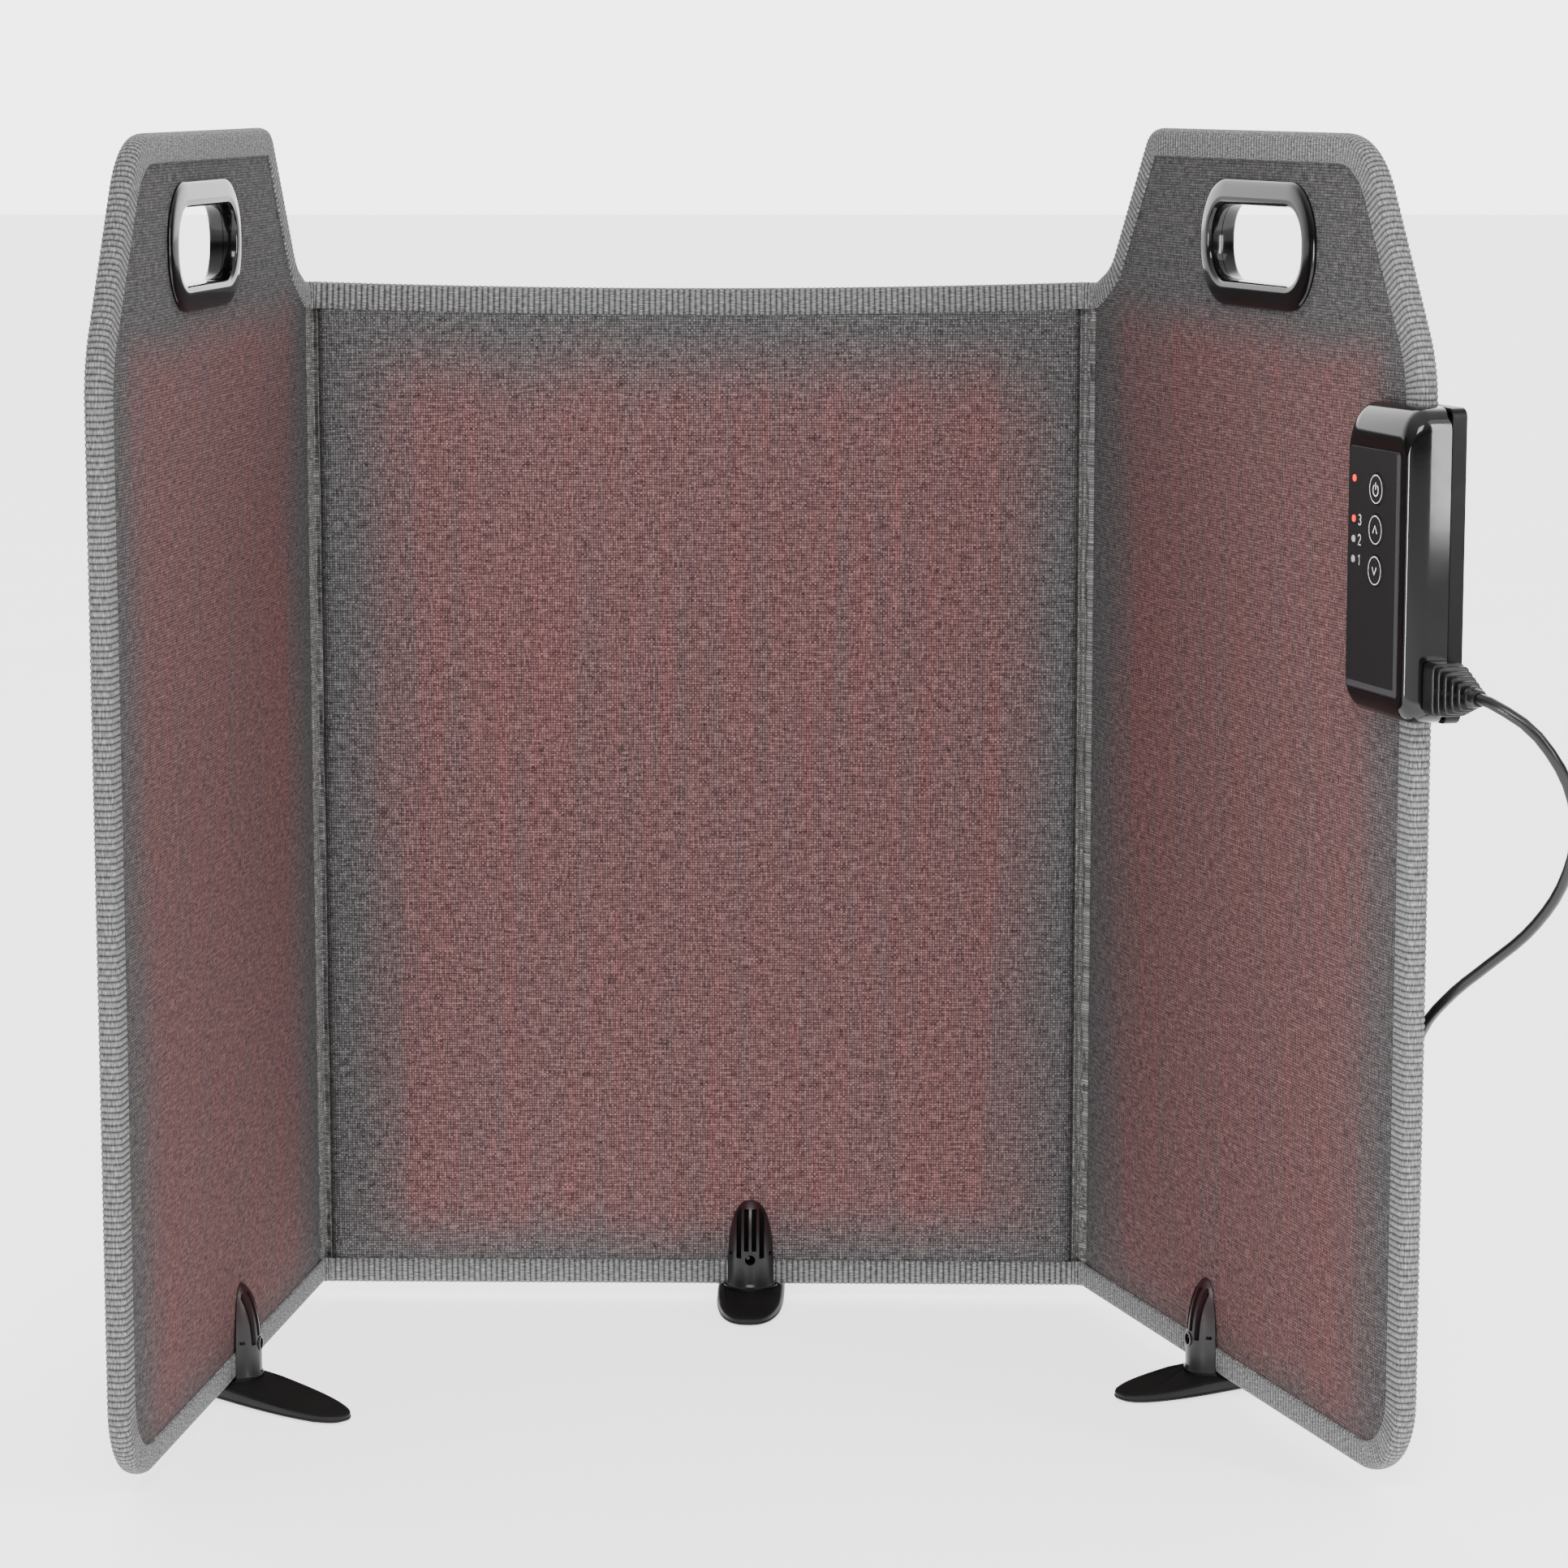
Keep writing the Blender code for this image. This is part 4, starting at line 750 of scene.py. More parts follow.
# %% [markdown]
# ## Hinge strips
# Between two panels the covers are sewn together through a soft strip that folds. It is laid
# along the curve from one seam to the other, with a crease down its middle and slanted
# puckers at its two ends, where the cloth is gathered as the wing turns in. A short length of
# tape closes its top and bottom. All three are fixed in place and ride on no moving body.

# %% Hinge strips
fold_of = {"left": math.radians(6.8), "right": math.radians(19.9)}


def hinge_curve(side, t):
    """A point of the strip's middle line in plan, and the way out to the heated side."""
    way = -1.0 if side == "left" else 1.0
    reach = HINGE + 0.0005
    start = Vector((-way * reach, 0.0))
    end = Vector((way * math.sin(fold_of[side]), -math.cos(fold_of[side]))) * reach
    at = start * (1.0 - t) ** 2 + end * t ** 2
    along = (end * t - start * (1.0 - t)).normalized()
    outward = Vector((along.y, -along.x)) * (-1.0 if side == "left" else 1.0)
    return at + Vector((HINGE_X[side], BACK_Y)), outward


def hinge_strip(side):
    """The strip as a grid with creases and puckers, given a thickness afterwards."""
    shape, layer = grid(30, 320)
    for vertex in shape.verts:
        t, z = vertex.co.x + 0.5, 0.003 + (vertex.co.y + 0.5) * (TOP - 0.006)
        at, outward = hinge_curve(side, t)
        ends = math.exp(-z / 0.060) + 0.7 * math.exp(-(TOP - z) / 0.035)
        middle = math.sin(math.pi * t)
        wave = noise.noise(Vector((z * 24.0, 2.0, 7.0)))
        pucker = math.sin(z / 0.0085 * math.pi + 3.5 * t + 2.0 * wave)
        lift = 0.0011 + 0.0013 * t + 0.0010 * middle * ends * pucker
        lift += 0.0009 * math.exp(-((t - 0.62) / 0.20) ** 2)
        lift -= 0.0022 * math.exp(-((t - 0.20 - 0.07 * wave) / 0.09) ** 2)
        lift += 0.0004 * middle * noise.noise(Vector((z * 40.0, t * 3.0, 5.0)))
        spot = at + outward * lift
        vertex.co = (spot.x, spot.y, z + LIFT)
    for face in shape.faces:
        for loop in face.loops:
            loop[layer].uv = (loop.vert.co.x + loop.vert.co.y, loop.vert.co.z)
    probe = next(iter(shape.faces))
    probe.normal_update()
    _, outward = hinge_curve(side, 0.5)
    if probe.normal.x * outward.x + probe.normal.y * outward.y < 0.0:
        bmesh.ops.reverse_faces(shape, faces=shape.faces)
    piece = place(side + "_hinge_cloth", shape, strip_cloth, None, None, 60.0, recalc=False)
    thicken(piece, STRIP_THICK)
    bend_with(piece, side)
    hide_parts("hinge_strip_" + side)
    return piece


def bend_with(piece, side):
    """Bake a piece's place into its mesh; it does not bend across the fold."""
    start, _ = hinge_curve(side, 0.0)
    end, _ = hinge_curve(side, 1.0)
    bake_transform(piece)


def hinge_tape(side, label, edge, way):
    """A short length of tape that carries the binding across the fold."""
    rows, long = 25, 0.015
    sections = [tape_section(long * index / (rows - 1)) for index in range(rows)]
    columns = len(sections[0]) + 1
    shape, layer = grid(rows - 1, columns - 1)
    for vertex in shape.verts:
        i = round((vertex.co.x + 0.5) * (rows - 1))
        j = round((vertex.co.y + 0.5) * (columns - 1))
        for loop in vertex.link_loops:
            loop[layer].uv = (long * i / (rows - 1), 0.002 * j)
        inset, depth = sections[i][j % (columns - 1)]
        at, outward = hinge_curve(side, i / (rows - 1))
        spot = at + outward * depth * (0.86 - 0.10 * math.sin(math.pi * i / (rows - 1)))
        vertex.co = (spot.x, spot.y, LIFT + edge + way * inset)
    bmesh.ops.remove_doubles(shape, verts=shape.verts, dist=0.000005)
    bmesh.ops.holes_fill(shape, edges=[e for e in shape.edges if e.is_boundary])
    piece = place(side + "_hinge_" + label + "_tape", shape, tape, None, None, 60.0)
    bend_with(piece, side)
    return piece


for side in ("left", "right"):
    print(hinge_strip(side).name, hinge_tape(side, "top", TOP, -1.0).name,
          hinge_tape(side, "bottom", 0.0, 1.0).name)

# %% [markdown]
# ## Stitches
# A dark zigzag of short stitches runs along the inner edge of the tape on both faces. One
# stitch is a tiny stretched ball of twenty faces, set again and again along the walk and
# leaned to alternate sides, so the row stays light.

# %% Stitches
STITCH = 0.0017


def stitch_row(name, side, edge):
    """Short threads along an edge, on both faces of its tape."""
    shape = bmesh.new()
    for index, (at, inward, _) in enumerate(stations(edge, STITCH)[1:-1]):
        turn = math.atan2(-inward.x, inward.y)
        spot = at + inward * (BAND - 0.0013)
        for facing in (1.0, -1.0):
            lay = (Matrix.Translation((spot.x, facing * 0.00470, spot.y))
                   @ Matrix.Rotation(-turn + (0.85 if index % 2 else -0.85), 4, "Y")
                   @ Matrix.Diagonal((0.00125, 0.00030, 0.00036, 1.0)))
            bmesh.ops.create_icosphere(shape, subdivisions=1, radius=1.0, matrix=lay)
    if side == "right":
        mirrored(shape)
    row = place(name, shape, thread, BODIES[side], FRAMES[side], 80.0)
    print(row.name, len(row.data.polygons))


stitch_row("left_edge_stitches", "left", wing_edge)
stitch_row("right_edge_stitches", "right", wing_edge)
stitch_row("centre_top_stitches", "centre", centre_edge(True))
stitch_row("centre_bottom_stitches", "centre", centre_edge(False))

# %% [markdown]
# ## Carrying grommets
# Two polished rings snap together through each tab. Their section is a thin wall through the
# hole, a crowned flange and a crisp bevel at the rim, rolled round the hole's outline.

# %% Grommets
def grommet_section(_distance):
    """One half's section, as distance outside the hole and depth from the mid-plane."""
    seat = FACE + 0.0003
    return [(0.0, 0.00015), (0.0, seat + 0.0010), (-0.0003, seat + 0.0017),
            (-0.0010, seat + 0.0024), (-0.0022, seat + 0.0027), (-0.0040, seat + 0.00265),
            (-0.0082, seat + 0.0022), (-0.0100, seat + 0.0018), (-0.0109, seat + 0.0013),
            (-0.0113, seat + 0.0007), (-0.0113, seat), (-0.0022, seat), (-0.0022, 0.00015)]


for side in ("left", "right"):
    for label, facing in (("front", 1.0), ("rear", -1.0)):
        shape = band(stations(GRIP, 0.0015, closed=True), grommet_section, closed=True)
        if facing < 0.0:
            bmesh.ops.scale(shape, vec=(1.0, -1.0, 1.0), verts=shape.verts)
        if side == "right":
            bmesh.ops.scale(shape, vec=(-1.0, 1.0, 1.0), verts=shape.verts)
        piece = place(side + "_" + label + "_grip_ring", shape, gloss_abs, BODIES[side],
                      FRAMES[side], 30.0)
        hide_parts(side + "_grommet_" + label)
        print(piece.name, len(piece.data.polygons))

# %% [markdown]
# ## Foot clips
# A clip is a bullet of satin nylon, turned from half its profile with a spin. A slot for the
# panel's edge parts it into two jaws. Each jaw has four deep upright slots with thin ribs
# between them, and a small hole with a peg. Cuts are made as exact booleans with simple
# tools, and a fine bevel softens every edge, which is what catches the light on mouldings.

# %% Cutting helpers
def lathed(profile, steps):
    """A solid turned about z from half its outline."""
    shape = bmesh.new()
    points = [shape.verts.new((r, 0.0, z)) for r, z in profile]
    edges = [shape.edges.new(pair) for pair in zip(points, points[1:])]
    bmesh.ops.spin(shape, geom=points + edges, axis=(0, 0, 1), cent=(0, 0, 0),
                   angle=2.0 * math.pi, steps=steps, use_merge=True)
    bmesh.ops.remove_doubles(shape, verts=shape.verts, dist=0.00001)
    return shape


def box_mesh(low, high):
    """A box tool between two corners."""
    shape = bmesh.new()
    bmesh.ops.create_cube(shape, size=1.0)
    low, high = Vector(low), Vector(high)
    bmesh.ops.scale(shape, vec=high - low, verts=shape.verts)
    bmesh.ops.translate(shape, vec=(high + low) / 2.0, verts=shape.verts)
    return shape


def rod_mesh(radius, low, high, axis, at, segments=48):
    """A round tool along y or z."""
    shape = bmesh.new()
    bmesh.ops.create_cone(shape, cap_ends=True, segments=segments, radius1=radius,
                          radius2=radius, depth=high - low)
    bmesh.ops.translate(shape, vec=(0.0, 0.0, (low + high) / 2.0), verts=shape.verts)
    if axis == "Y":
        bmesh.ops.rotate(shape, matrix=Matrix.Rotation(-math.pi / 2.0, 3, "X"),
                         verts=shape.verts)
    bmesh.ops.translate(shape, vec=at, verts=shape.verts)
    return shape


def carved(shape, steps):
    """Cut tools out of a shape or join them on, in order, and give back the result."""
    target = meshed("blank", shape)
    tools = [meshed("tool", tool_shape) for _, tool_shape in steps]
    for (operation, _), tool in zip(steps, tools):
        step = target.modifiers.new("step", "BOOLEAN")
        step.operation = operation
        step.solver = "EXACT"
        step.object = tool
    bpy.context.view_layer.update()
    graph = bpy.context.evaluated_depsgraph_get()
    made = bmesh.new()
    made.from_mesh(target.evaluated_get(graph).to_mesh())
    for spent in tools + [target]:
        bpy.data.objects.remove(spent, do_unlink=True)
    return made


def softened(piece, width, segments=2, angle=35.0):
    """A live bevel on every crisp edge of a piece."""
    step = piece.modifiers.new("softened_edges", "BEVEL")
    step.width = width
    step.segments = segments
    step.limit_method = "ANGLE"
    step.angle_limit = math.radians(angle)


def squircle(angle, power):
    """A point of a superellipse of reach 1, between a circle and a square."""
    c, s = math.cos(angle), math.sin(angle)
    return math.copysign(abs(c) ** power, c), math.copysign(abs(s) ** power, s)


# %% Clips
clip_profile = [(0.0, 0.0445), (0.0022, 0.04435), (0.0043, 0.0437), (0.0062, 0.0423),
                (0.0077, 0.0401), (0.0091, 0.0370), (0.0101, 0.0334), (0.0110, 0.0290),
                (0.0116, 0.0245), (0.0120, 0.0190), (0.0123, 0.0133), (0.0123, 0.0024),
                (0.0129, 0.0012), (0.0129, 0.0), (0.0, 0.0)]
CLIP_WIDE, CLIP_DEEP = 0.0123, 0.0143


def clip(name, side, x, node):
    """One clip, in its panel's frame, at a distance along the panel."""
    shape = lathed(clip_profile, 96)
    bmesh.ops.recalc_face_normals(shape, faces=shape.faces)
    bmesh.ops.scale(shape, vec=(1.0, CLIP_DEEP / CLIP_WIDE, 1.0), verts=shape.verts)
    steps = [("UNION", rod_mesh(0.0144, -0.0021, 0.0006, "Z", (0, 0, 0), 96)),
             ("UNION", rod_mesh(0.0040, -0.0060, -0.0006, "Z", (0, 0, 0))),
             ("DIFFERENCE", box_mesh((-0.020, -0.0052, -0.0003), (0.020, 0.0052, 0.050)))]
    for facing in (-1.0, 1.0):
        near, far = sorted((facing * 0.0066, facing * 0.020))
        for share in (-1.5, -0.5, 0.5, 1.5):
            middle = 0.0038 * share
            low = 0.0192 if abs(share) < 1.0 else 0.0155
            steps.append(("DIFFERENCE", box_mesh((middle - 0.00120, near, low),
                                                 (middle + 0.00120, far, 0.0398))))
        for way in (-1.0, 1.0):
            low, high = sorted((way * 0.0092, way * 0.0106))
            steps.append(("DIFFERENCE", box_mesh((low, near, 0.0165), (high, far, 0.0180))))
        for operation, radius, span, at, segments in (
                ("UNION", 0.0035, (0.0100, 0.01445), (0.0, 0.0, 0.0150), 48),
                ("DIFFERENCE", 0.0026, (0.0070, 0.0160), (0.0, 0.0, 0.0150), 48),
                ("UNION", 0.0009, (0.0060, 0.0135), (0.0011 * facing, 0.0, 0.0160), 24)):
            low, high = sorted(facing * depth for depth in span)
            steps.append((operation, rod_mesh(radius, low, high, "Y", at, segments)))
    shape = carved(shape, steps)
    bmesh.ops.recalc_face_normals(shape, faces=shape.faces)
    # the floors of the slots take the painted shade, the second material
    for face in shape.faces:
        middle = face.calc_center_median()
        if 0.0062 < abs(middle.y) < 0.0070 and abs(face.normal.y) > 0.9 and middle.z > 0.012:
            face.material_index = 1
    piece = place(name, shape, satin_nylon, BODIES[side],
                  FRAMES[side] @ Matrix.Translation((x, 0.0, 0.0)), 30.0)
    piece.data.materials.append(painted_slot_shade)
    softened(piece, 0.00028)
    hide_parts(node)
    print(name, len(piece.data.polygons))


clip("left_foot_clip", "left", 0.170, "clip_left")
clip("right_foot_clip", "right", -0.159, "clip_right")
clip("centre_foot_clip", "centre", -0.025, "clip_centre")

# %% [markdown]
# ## Feet
# Each foot is a long blunt oval, like a small boat, longer ahead of the clip than behind it.
# A ring of vertices is bent to that oval, extruded up, and drawn in towards the top so that
# the upper edge is round and the toe and heel fall away.

# %% Feet
TOE, HEEL, FOOT_HALF = 0.080, 0.056, 0.0168
PAD_AHEAD, PAD_BEHIND = 0.0645, -0.0405
feet = {
    "left": stand_at(-0.252209, -42.8, -0.010811), "right": stand_at(0.20804, 33.9, 0.008487),
    "centre": stand_at(-0.014081, 90.0),
}


def foot(side):
    """A foot about its pivot: the toe points along its own x."""
    shape = bmesh.new()
    layers = ((0.940, -0.0072), (0.985, -0.0069), (1.0, -0.0062), (0.975, -0.0055),
              (0.975, -0.0050), (0.985, -0.0030), (0.975, -0.0018), (0.935, -0.0009),
              (0.87, -0.00045), (0.78, -0.0003))
    ring = bmesh.ops.create_circle(shape, cap_ends=True, segments=128, radius=1.0)["verts"]
    angles = {v: math.atan2(v.co.y, v.co.x) for v in ring}

    def bend(loop, angles, grow, height):
        for vertex in loop:
            along, across = squircle(angles[vertex], 2.0 / 2.6)
            length = TOE if along > 0.0 else HEEL
            margin = FOOT_HALF * (1.0 - grow)
            x = along * (length - margin)
            fall = 0.0034 * max(abs(x) - 0.016, 0.0) / (length - 0.016)
            vertex.co = (x, across * (FOOT_HALF - margin),
                         height - fall * max((height + 0.0062) / 0.0059, 0.0))

    bend(ring, angles, *layers[0])
    loop_edges = list(shape.edges)
    for grow, height in layers[1:]:
        grown = bmesh.ops.extrude_edge_only(shape, edges=loop_edges)["geom"]
        fresh = [g for g in grown if isinstance(g, bmesh.types.BMVert)]
        loop_edges = [g for g in grown if isinstance(g, bmesh.types.BMEdge)
                      and all(v in fresh for v in g.verts)]
        angles = {v: angles[e.other_vert(v)] for v in fresh for e in v.link_edges
                  if e.other_vert(v) in angles}
        bend(fresh, angles, grow, height)
    bmesh.ops.contextual_create(shape, geom=loop_edges)
    bmesh.ops.recalc_face_normals(shape, faces=shape.faces)
    steps = [("DIFFERENCE", rod_mesh(0.0147, -0.0024, 0.004, "Z", (0, 0, 0), 96)),
             ("DIFFERENCE", rod_mesh(0.0043, -0.012, 0.004, "Z", (0, 0, 0)))]
    for at in (PAD_AHEAD, PAD_BEHIND):
        steps.append(("DIFFERENCE", rod_mesh(0.0093, -0.012, -0.0061, "Z", (at, 0, 0), 64)))
    shape = carved(shape, steps)
    piece = place(side + "_foot_shoe", shape, matt_nylon, "foot_" + side, feet[side], 28.0)
    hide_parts("foot_" + side)
    print(piece.name, len(piece.data.polygons))


for side in feet:
    foot(side)

# %% [markdown]
# ## Controller
# The controller grips the right wing's edge. Its front shell is a loft of rounded rectangles
# that shrink along a quarter turn, steep at the sides and long at the top and bottom, which
# gives the sloped shoulders. The rings are made as circles, bent to rounded rectangles and
# joined with bridge_loops. It is hollow, and the panel passes through it.

# %% Controller shells
BOX_IN, BOX_OUT, BOX_LOW, BOX_HIGH, BOX_FRONT = 0.321, 0.381, 0.334, 0.465, 0.0190
KEY_HEIGHTS = {"power": 0.430, "up": 0.413, "down": 0.396}
LAMP_HEIGHTS = {"power": 0.4330, "high": 0.4160, "medium": 0.4075, "low": 0.3990}
KEY_REACH, LAMP_REACH = 0.352, 0.3305
KEY_HOLE, LAMP_HOLE, LENS = 0.00675, 0.0018, 0.0015
SLOT_OUT, SLOT_IN, SLOT_HALF, SLOT_LOW, SLOT_HIGH = 0.3603, 0.317, 0.0052, 0.330, 0.469
SCREW_REACH = 0.3735


def ring_at(shape, points):
    """A closed ring of edges bent from a circle."""
    ring = bmesh.ops.create_circle(shape, segments=len(points), radius=1.0)["verts"]
    for vertex, at in zip(ring, points):
        vertex.co = at
    return list({edge for vertex in ring for edge in vertex.link_edges})


def lofted(sections):
    """A closed skin through rings that have the same number of points."""
    shape = bmesh.new()
    rings = [ring_at(shape, section) for section in sections]
    for low_ring, high_ring in zip(rings, rings[1:]):
        bmesh.ops.bridge_loops(shape, edges=low_ring + high_ring)
    bmesh.ops.holes_fill(shape, edges=[e for e in shape.edges if e.is_boundary])
    bmesh.ops.recalc_face_normals(shape, faces=shape.faces)
    return shape


def shell_form(wall, start):
    """The front shell's skin, or its hollow when a wall is given."""
    def section(depth, turn):
        side = wall + 0.0036 * turn
        radius = max(0.010 - side, 0.0003)
        inner, outer = BOX_IN + side, BOX_OUT - side
        low_edge, high_edge = BOX_LOW + wall + 0.0090 * turn, BOX_HIGH - wall - 0.0165 * turn
        corners = oblong(-outer, -inner, low_edge, high_edge, radius)
        return [(p.x, depth, p.y) for p in rounded(corners, 10)]
    front = BOX_FRONT - wall
    sections = [section(start, 0.0)]
    for step in range(15):
        turn = math.pi / 2.0 * step / 14.0
        sections.append(section(front - 0.0100 * (1.0 - math.sin(turn)), 1.0 - math.cos(turn)))
    return lofted(sections)


def plate(corners, depth_low, depth_high, steps=12):
    """A flat plate from a rounded outline, between two depths."""
    outline = [(p.x, depth_low, p.y) for p in rounded(corners, steps)]
    return lofted([outline, [(x, depth_high, z) for x, _, z in outline]])


def face_corners(grow):
    """Corners of the printed face plate."""
    return oblong(-0.3735 - grow, -0.3255 + grow, 0.3445 - grow, 0.4465 + grow, 0.0020)


def face_holes():
    """Cuts for the holes of the keys and the lamps."""
    cuts = [rod_mesh(KEY_HOLE, 0.010, 0.030, "Y", (-KEY_REACH, 0.0, z))
            for z in KEY_HEIGHTS.values()]
    cuts += [rod_mesh(LAMP_HOLE, 0.010, 0.030, "Y", (-LAMP_REACH, 0.0, z), 24)
             for z in LAMP_HEIGHTS.values()]
    return [("DIFFERENCE", cut) for cut in cuts]


steps = [("DIFFERENCE", shell_form(0.0020, -0.004)),
         ("DIFFERENCE", box_mesh((-SLOT_OUT, -0.004, SLOT_LOW),
                                (-SLOT_IN, SLOT_HALF, SLOT_HIGH))),
         ("DIFFERENCE", plate(face_corners(0.0003), BOX_FRONT - 0.0005, 0.023))]
steps += face_holes()
piece = place("controller_front_case", carved(shell_form(0.0, 0.00015), steps), gloss_abs,
              "wing_right", FRAMES["right"], 25.0)
softened(piece, 0.00018, 2, 50.0)
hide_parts("controller_front_shell")
print(piece.name, len(piece.data.polygons))

rear = plate([(-BOX_OUT, BOX_LOW, 0.005), (-BOX_IN, BOX_LOW, 0.010), (-BOX_IN, BOX_HIGH, 0.010),
              (-BOX_OUT, BOX_HIGH, 0.004)], -0.0068, -0.00015)
steps = [("DIFFERENCE", box_mesh((-SLOT_OUT, -SLOT_HALF, SLOT_LOW),
                                (-SLOT_IN, 0.004, SLOT_HIGH))),
         ("DIFFERENCE", box_mesh((-0.379, -0.0052, 0.336), (-0.360, 0.004, 0.463)))]
piece = place("controller_back_case", carved(rear, steps), satin_abs, "wing_right",
              FRAMES["right"], 25.0)
softened(piece, 0.00045, 3, 50.0)
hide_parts("controller_back_shell")
print(piece.name, len(piece.data.polygons))

# %% [markdown]
# Two small cross-head screws hold the shells together from the back, at the corners outside
# the panel's edge.

# %% Shell screws
for index, z in enumerate((0.3435, 0.4410)):
    head = rod_mesh(0.0021, -0.0074, -0.0066, "Y", (-SCREW_REACH, 0.0, z), 32)
    cross = [("DIFFERENCE", box_mesh((-SCREW_REACH - a, -0.0080, z - b),
                                     (-SCREW_REACH + a, -0.0070, z + b)))
             for a, b in ((0.0013, 0.0003), (0.0003, 0.0013))]
    softened(place("shell_screw_" + str(index + 1), carved(head, cross), zinc, "wing_right",
                   FRAMES["right"], 30.0), 0.00015)

# %% [markdown]
# The printed face plate sits in a shallow recess. Its print is made of thin raised pieces of
# ink: a ring and a sign on each key, and plain numerals beside the lamps. The signs are the
# common ones for power, up and down.

# %% Face plate, keys and lamps
PLATE_TOP = BOX_FRONT + 0.0004
shape = carved(plate(face_corners(0.0), BOX_FRONT - 0.0002, PLATE_TOP), face_holes())
piece = place("printed_face_film", shape, film_print, "wing_right", FRAMES["right"], 25.0)
softened(piece, 0.00012, 2, 50.0)
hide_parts("controller_face_plate")

border = [box_mesh((-0.3731, PLATE_TOP - 0.0001, 0.3452), (-0.3700, PLATE_TOP + 0.00003, 0.4458)),
          box_mesh((-0.3700, PLATE_TOP - 0.0001, 0.3452), (-0.3262, PLATE_TOP + 0.00003, 0.3478))]
for label, shape in zip(("outer", "lower"), border):
    place("face_border_" + label, shape, film_edge, "wing_right", FRAMES["right"])


def face_stand(reach, depth, z):
    """A place on the controller's face, with its own z pointing out of the face."""
    return (FRAMES["right"] @ Matrix.Translation((-reach, depth, z))
            @ Matrix.Rotation(-math.pi / 2.0, 4, "X"))


for name, z in KEY_HEIGHTS.items():
    shape = lathed([(0.0, 0.0007), (0.0048, 0.0007), (0.0058, 0.0006), (0.0063, 0.0003),
                    (0.0064, 0.0), (0.0064, -0.0027), (0.0075, -0.0027), (0.0075, -0.0037),
                    (0.0018, -0.0037), (0.0018, -0.00430), (0.0, -0.00430)], 64)
    piece = place("key_cap_" + name, shape, film_print, "key_" + name,
                  face_stand(KEY_REACH, PLATE_TOP, z), 35.0)
    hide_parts("key_" + name)

for name, z in LAMP_HEIGHTS.items():
    shape = bmesh.new()
    bmesh.ops.create_uvsphere(shape, u_segments=24, v_segments=12, radius=LENS)
    bmesh.ops.scale(shape, vec=(1.0, 1.0, 0.35), verts=shape.verts)
    glass = lamp_on if name in ("power", "high") else lamp_off
    place("lamp_lens_" + name, shape, glass, "wing_right",
          face_stand(LAMP_REACH, PLATE_TOP - 0.0001, z))
    for slot in nodes["lamp_" + name].material_slots:
        slot.material = glass


# %% Printed signs
def printed(name, body, stroke, width, x, z, closed=False, lift=0.00072):
    """A line of ink on a key or the plate, from points in the plate's own plane."""
    helper = wire(name, [(-px, 0.0, pz) for px, pz in stroke], width, 2, closed)
    bpy.context.view_layer.update()
    shape = bmesh.new()
    shape.from_mesh(helper.evaluated_get(bpy.context.evaluated_depsgraph_get()).to_mesh())
    bpy.data.objects.remove(helper, do_unlink=True)
    bmesh.ops.scale(shape, vec=(1.0, 0.1, 1.0), verts=shape.verts)
    stand = FRAMES["right"] @ Matrix.Translation((x, PLATE_TOP + lift, z))
    return place(name, shape, ink, body, stand, 60.0)


def arc(radius, start, end, steps=40, rise=0.0):
    """Points of an arc in degrees, anticlockwise as a reader sees it."""
    turns = [math.radians(start + (end - start) * i / steps) for i in range(steps + 1)]
    return [(radius * math.cos(turn), rise + radius * math.sin(turn)) for turn in turns]


for name, z in KEY_HEIGHTS.items():
    printed("ring_" + name, "key_" + name, arc(0.0058, 0, 360, 72)[:-1], 0.00034, -KEY_REACH, z,
            closed=True, lift=0.00062)
signs = (
    ("sign_power_arc", "power", arc(0.0024, 124, 416, rise=-0.0004), 0.00056),
    ("sign_power_bar", "power", [(0.0, -0.0002), (0.0, 0.0028)], 0.00056),
    ("sign_up", "up", [(-0.0019, -0.0014), (0.0, 0.0018), (0.0019, -0.0014)], 0.00060),
    ("sign_down", "down", [(-0.0019, 0.0014), (0.0, -0.0018), (0.0019, 0.0014)], 0.00060),
)
for name, key, stroke, width in signs:
    printed(name, "key_" + key, stroke, width, -KEY_REACH, KEY_HEIGHTS[key])
numerals = {
    "high": arc(0.0008, 150, -80, 12, 0.0007) + arc(0.0009, 80, -150, 12, -0.0008),
    "medium": arc(0.0009, 160, -30, 12, 0.0007) + [(-0.0009, -0.0016), (0.0010, -0.0016)],
    "low": [(-0.0006, 0.0009), (0.0002, 0.0016), (0.0002, -0.0016)],
}
for name, stroke in numerals.items():
    stroke = [(x * 1.35, z * 1.35) for x, z in stroke]
    printed("numeral_" + name, "wing_right", stroke, 0.00045, -LAMP_REACH - 0.0056,
            LAMP_HEIGHTS[name], lift=0.00002)
print("signs printed")

# %% [markdown]
# ## Strain relief
# Where the cord leaves the controller it passes through a soft moulding that starts square
# and ends round. Five ribs step down along it and let it bend evenly. A thin web along the
# middle ties them. It is a loft through many sections, each a superellipse between a square
# and a circle.

# %% Strain relief
RELIEF_START, RELIEF_LONG, RELIEF_AXIS, RELIEF_HEIGHT = 0.3813, 0.0370, 0.0040, 0.350


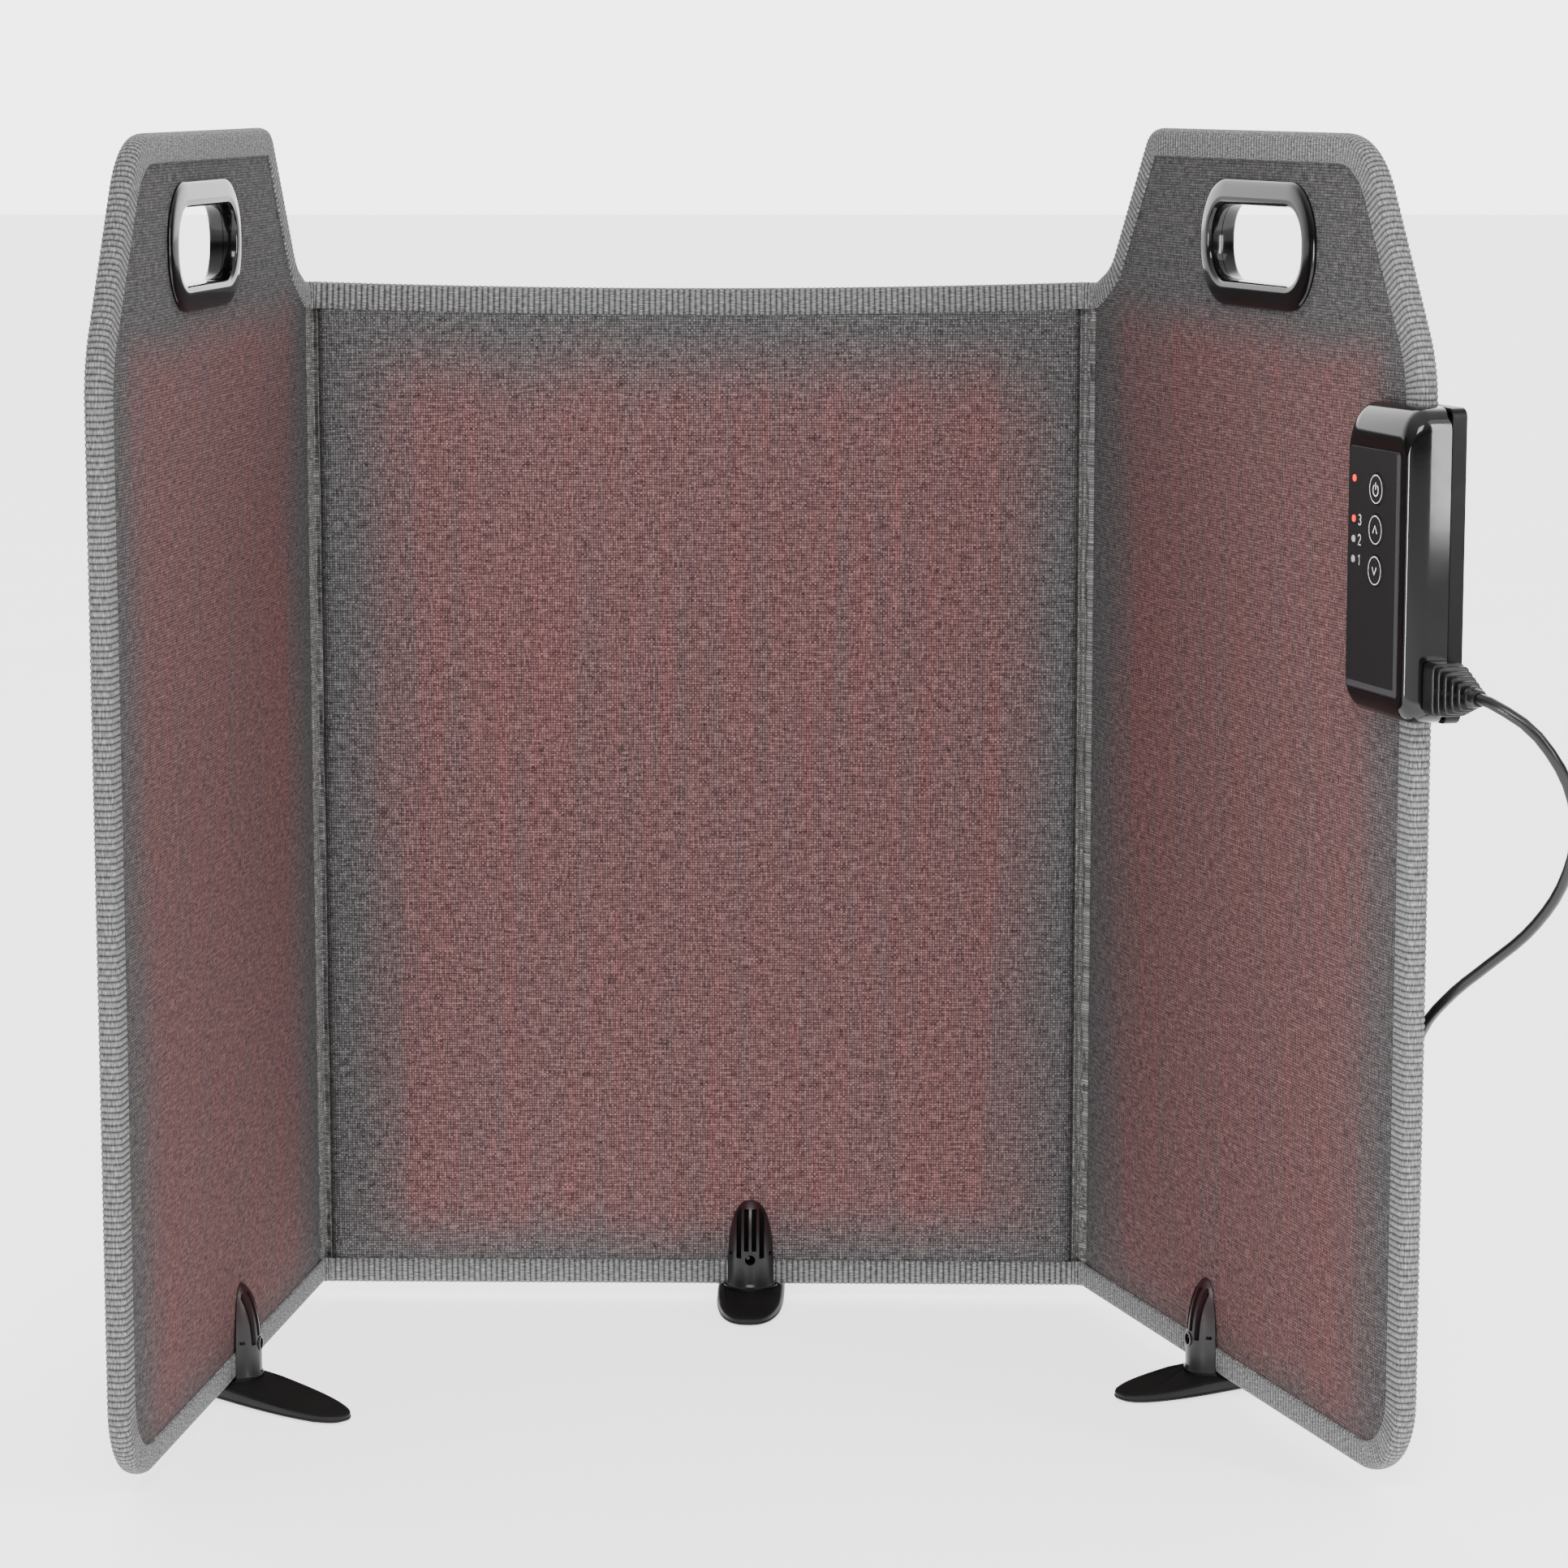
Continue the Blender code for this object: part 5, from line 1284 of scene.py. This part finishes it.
def relief_sections():
    """Rings along the moulding: a smooth root, stepped ribs and a round neck."""
    places = [(0.0, 0.0, 0.0007), (0.0008, 0.0, 0.0), (0.0088, 0.0, 0.0), (0.0095, 0.0, 0.0005)]
    pitch = (RELIEF_LONG - 0.0095 - 0.0040) / 5.0
    for rib in range(5):
        low, share = 0.0095 + pitch * rib, (rib + 0.5) / 5.0
        places += [(low + pitch * 0.05, share, 0.0022), (low + pitch * 0.44, share, 0.0022),
                   (low + pitch * 0.47, share, 0.0003), (low + pitch * 0.54, share, 0.0),
                   (low + pitch * 0.92, share, 0.0), (low + pitch, share, 0.0003)]
    places += [(0.0336, 1.0, 0.0), (0.0360, 1.0, 0.0001), (RELIEF_LONG, 1.0, 0.0006)]
    for along, share, groove in places:
        tall = 0.0110 + (0.0039 - 0.0110) * share - groove
        deep = 0.0075 + (0.0039 - 0.0075) * share - groove
        power = 2.0 / (7.0 - 5.0 * share)
        ring = []
        for index in range(64):
            angle = 2.0 * math.pi * (index + 0.5) / 64.0
            out, up = squircle(angle, power)
            ring.append((-RELIEF_START - along, RELIEF_AXIS + out * deep,
                         RELIEF_HEIGHT + up * tall))
        yield ring


web = []
for along, deep in ((0.0060, 0.0071), (0.0340, 0.0039)):
    web.append([(-RELIEF_START - along, RELIEF_AXIS + y * deep, RELIEF_HEIGHT + z * 0.0008)
                for y, z in ((-1.0, -1.0), (1.0, -1.0), (1.0, 1.0), (-1.0, 1.0))])
shape = carved(lofted(list(relief_sections())), [("UNION", lofted(web))])
relief = place("ribbed_strain_relief", shape, relief_vinyl, "wing_right", FRAMES["right"], 35.0)
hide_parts("strain_relief")
print(relief.name, len(relief.data.polygons))

# %% [markdown]
# ## Plug
# A small two-blade plug lies at the end of the coil. Its body is one soft loft that widens
# from the cord to a square face, and the blades are the CAD model's own.

# %% Plug
PLUG_HALF, PLUG_TALL, PLUG_LONG = 0.0115, 0.0085, 0.034
entry = coil[-1] + SHIFT
plug_shares = ((0.0, 0.40), (0.05, 0.42), (0.28, 0.60), (0.42, 0.80), (0.52, 0.94), (0.62, 1.0),
               (0.95, 1.0), (1.0, 0.965))
sections = []
for along, width in plug_shares:
    half, tall = PLUG_HALF * width, PLUG_TALL * (0.4 + 0.6 * width)
    middle = 0.0003 + PLUG_TALL
    corner = 0.0035 * width
    corners = oblong(entry.x - half, entry.x + half, middle - tall, middle + tall, corner)
    sections.append([(p.x, entry.y + 0.0003 + PLUG_LONG * along, p.y)
                     for p in rounded(corners, 8)])
plug = place("plug_moulding", lofted(sections), pvc, "wing_right", None, 45.0)
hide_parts("plug_body")

# %% [markdown]
# ## Floor and light
# The object stands on a plain white acrylic sweep that is lit from below, as for a catalogue
# picture. The light under it fades out in front and at the sides. The surround is brightest
# behind the object and dark on the camera's side, so that black plastic stays black, and one
# big softbox above the camera lights the centre panel. Two upright strip lamps stand out of
# the picture, and draw the long thin highlights down the controller and along the cord.

# %% Floor and light
shape = bmesh.new()
bmesh.ops.create_grid(shape, x_segments=1, y_segments=1, size=20.0)
FLOOR_GLOW = 1.7
paper, tree, shader = surface("lit_white_acrylic_sweep", Roughness=0.9,
                              Emission_Color=(1.0, 1.0, 1.0, 1.0))
here = add(tree, "TexCoord").outputs["Object"]
tree.links.new(ramp(tree, clouds(tree, here, 3.0), (0.3, "#e9e9e9"), (0.7, "#eeeeee")),
               shader.inputs["Base Color"])
apart = parted(tree, here)
aside = maths(tree, "ADD", maths(tree, "ABSOLUTE", apart["X"]),
              maths(tree, "MULTIPLY", apart["Y"], -0.3))
across = remap(tree, aside, (1.0, 1.7), (1.0, 0.0), interpolation_type="SMOOTHSTEP")
onward = remap(tree, apart["Y"], (-1.4, -0.8), interpolation_type="SMOOTHSTEP")
lit = maths(tree, "MULTIPLY", maths(tree, "MULTIPLY", across, onward), FLOOR_GLOW)
tree.links.new(lit, shader.inputs["Emission Strength"])
floor = place("studio_floor", shape, paper, None)
world = bpy.data.worlds.new("soft_surround")
bpy.context.scene.world = world
world.use_nodes = True
sky = world.node_tree
apart = parted(sky, add(sky, "TexCoord").outputs["Generated"])
behind = remap(sky, apart["Y"], (0.35, 0.9), (0.16, 4.4), interpolation_type="SMOOTHSTEP")
above = remap(sky, apart["Z"], (0.05, 0.95), (0.0, 1.4), interpolation_type="SMOOTHSTEP")
sky.links.new(maths(sky, "ADD", behind, above), sky.nodes["Background"].inputs["Strength"])
sky.nodes["Background"].inputs["Color"].default_value = (1.0, 1.0, 1.0, 1.0)


def soft_lamp(name, at, target, wide, tall, watts, fan=180.0):
    """A rectangular area lamp that looks at a point; a grid narrows how far it fans out."""
    lamp = bpy.data.lights.new(name, "AREA")
    lamp.shape = "RECTANGLE"
    lamp.size, lamp.size_y = wide, tall
    lamp.energy = watts
    lamp.spread = math.radians(fan)
    made = linked(name, lamp)
    made.location = at
    made.rotation_euler = (Vector(target) - Vector(at)).to_track_quat("-Z", "Y").to_euler()


soft_lamp("front_box", (-0.2, -2.8, 2.3), (0.0, 0.0, 0.3), 1.6, 1.0, 84.0)
soft_lamp("key_right", (1.5, -1.2, 1.9), (-0.2, 0.0, 0.4), 0.8, 0.8, 5.0)
soft_lamp("strip_right", (1.03, -0.88, 0.72), (0.29, -0.20, 0.45), 0.13, 0.80, 8.0)
soft_lamp("strip_left", (-0.75, -1.20, 0.27), (0.28, -0.20, 0.39), 0.16, 0.80, 0.6, 24.0)
print("lights ready")
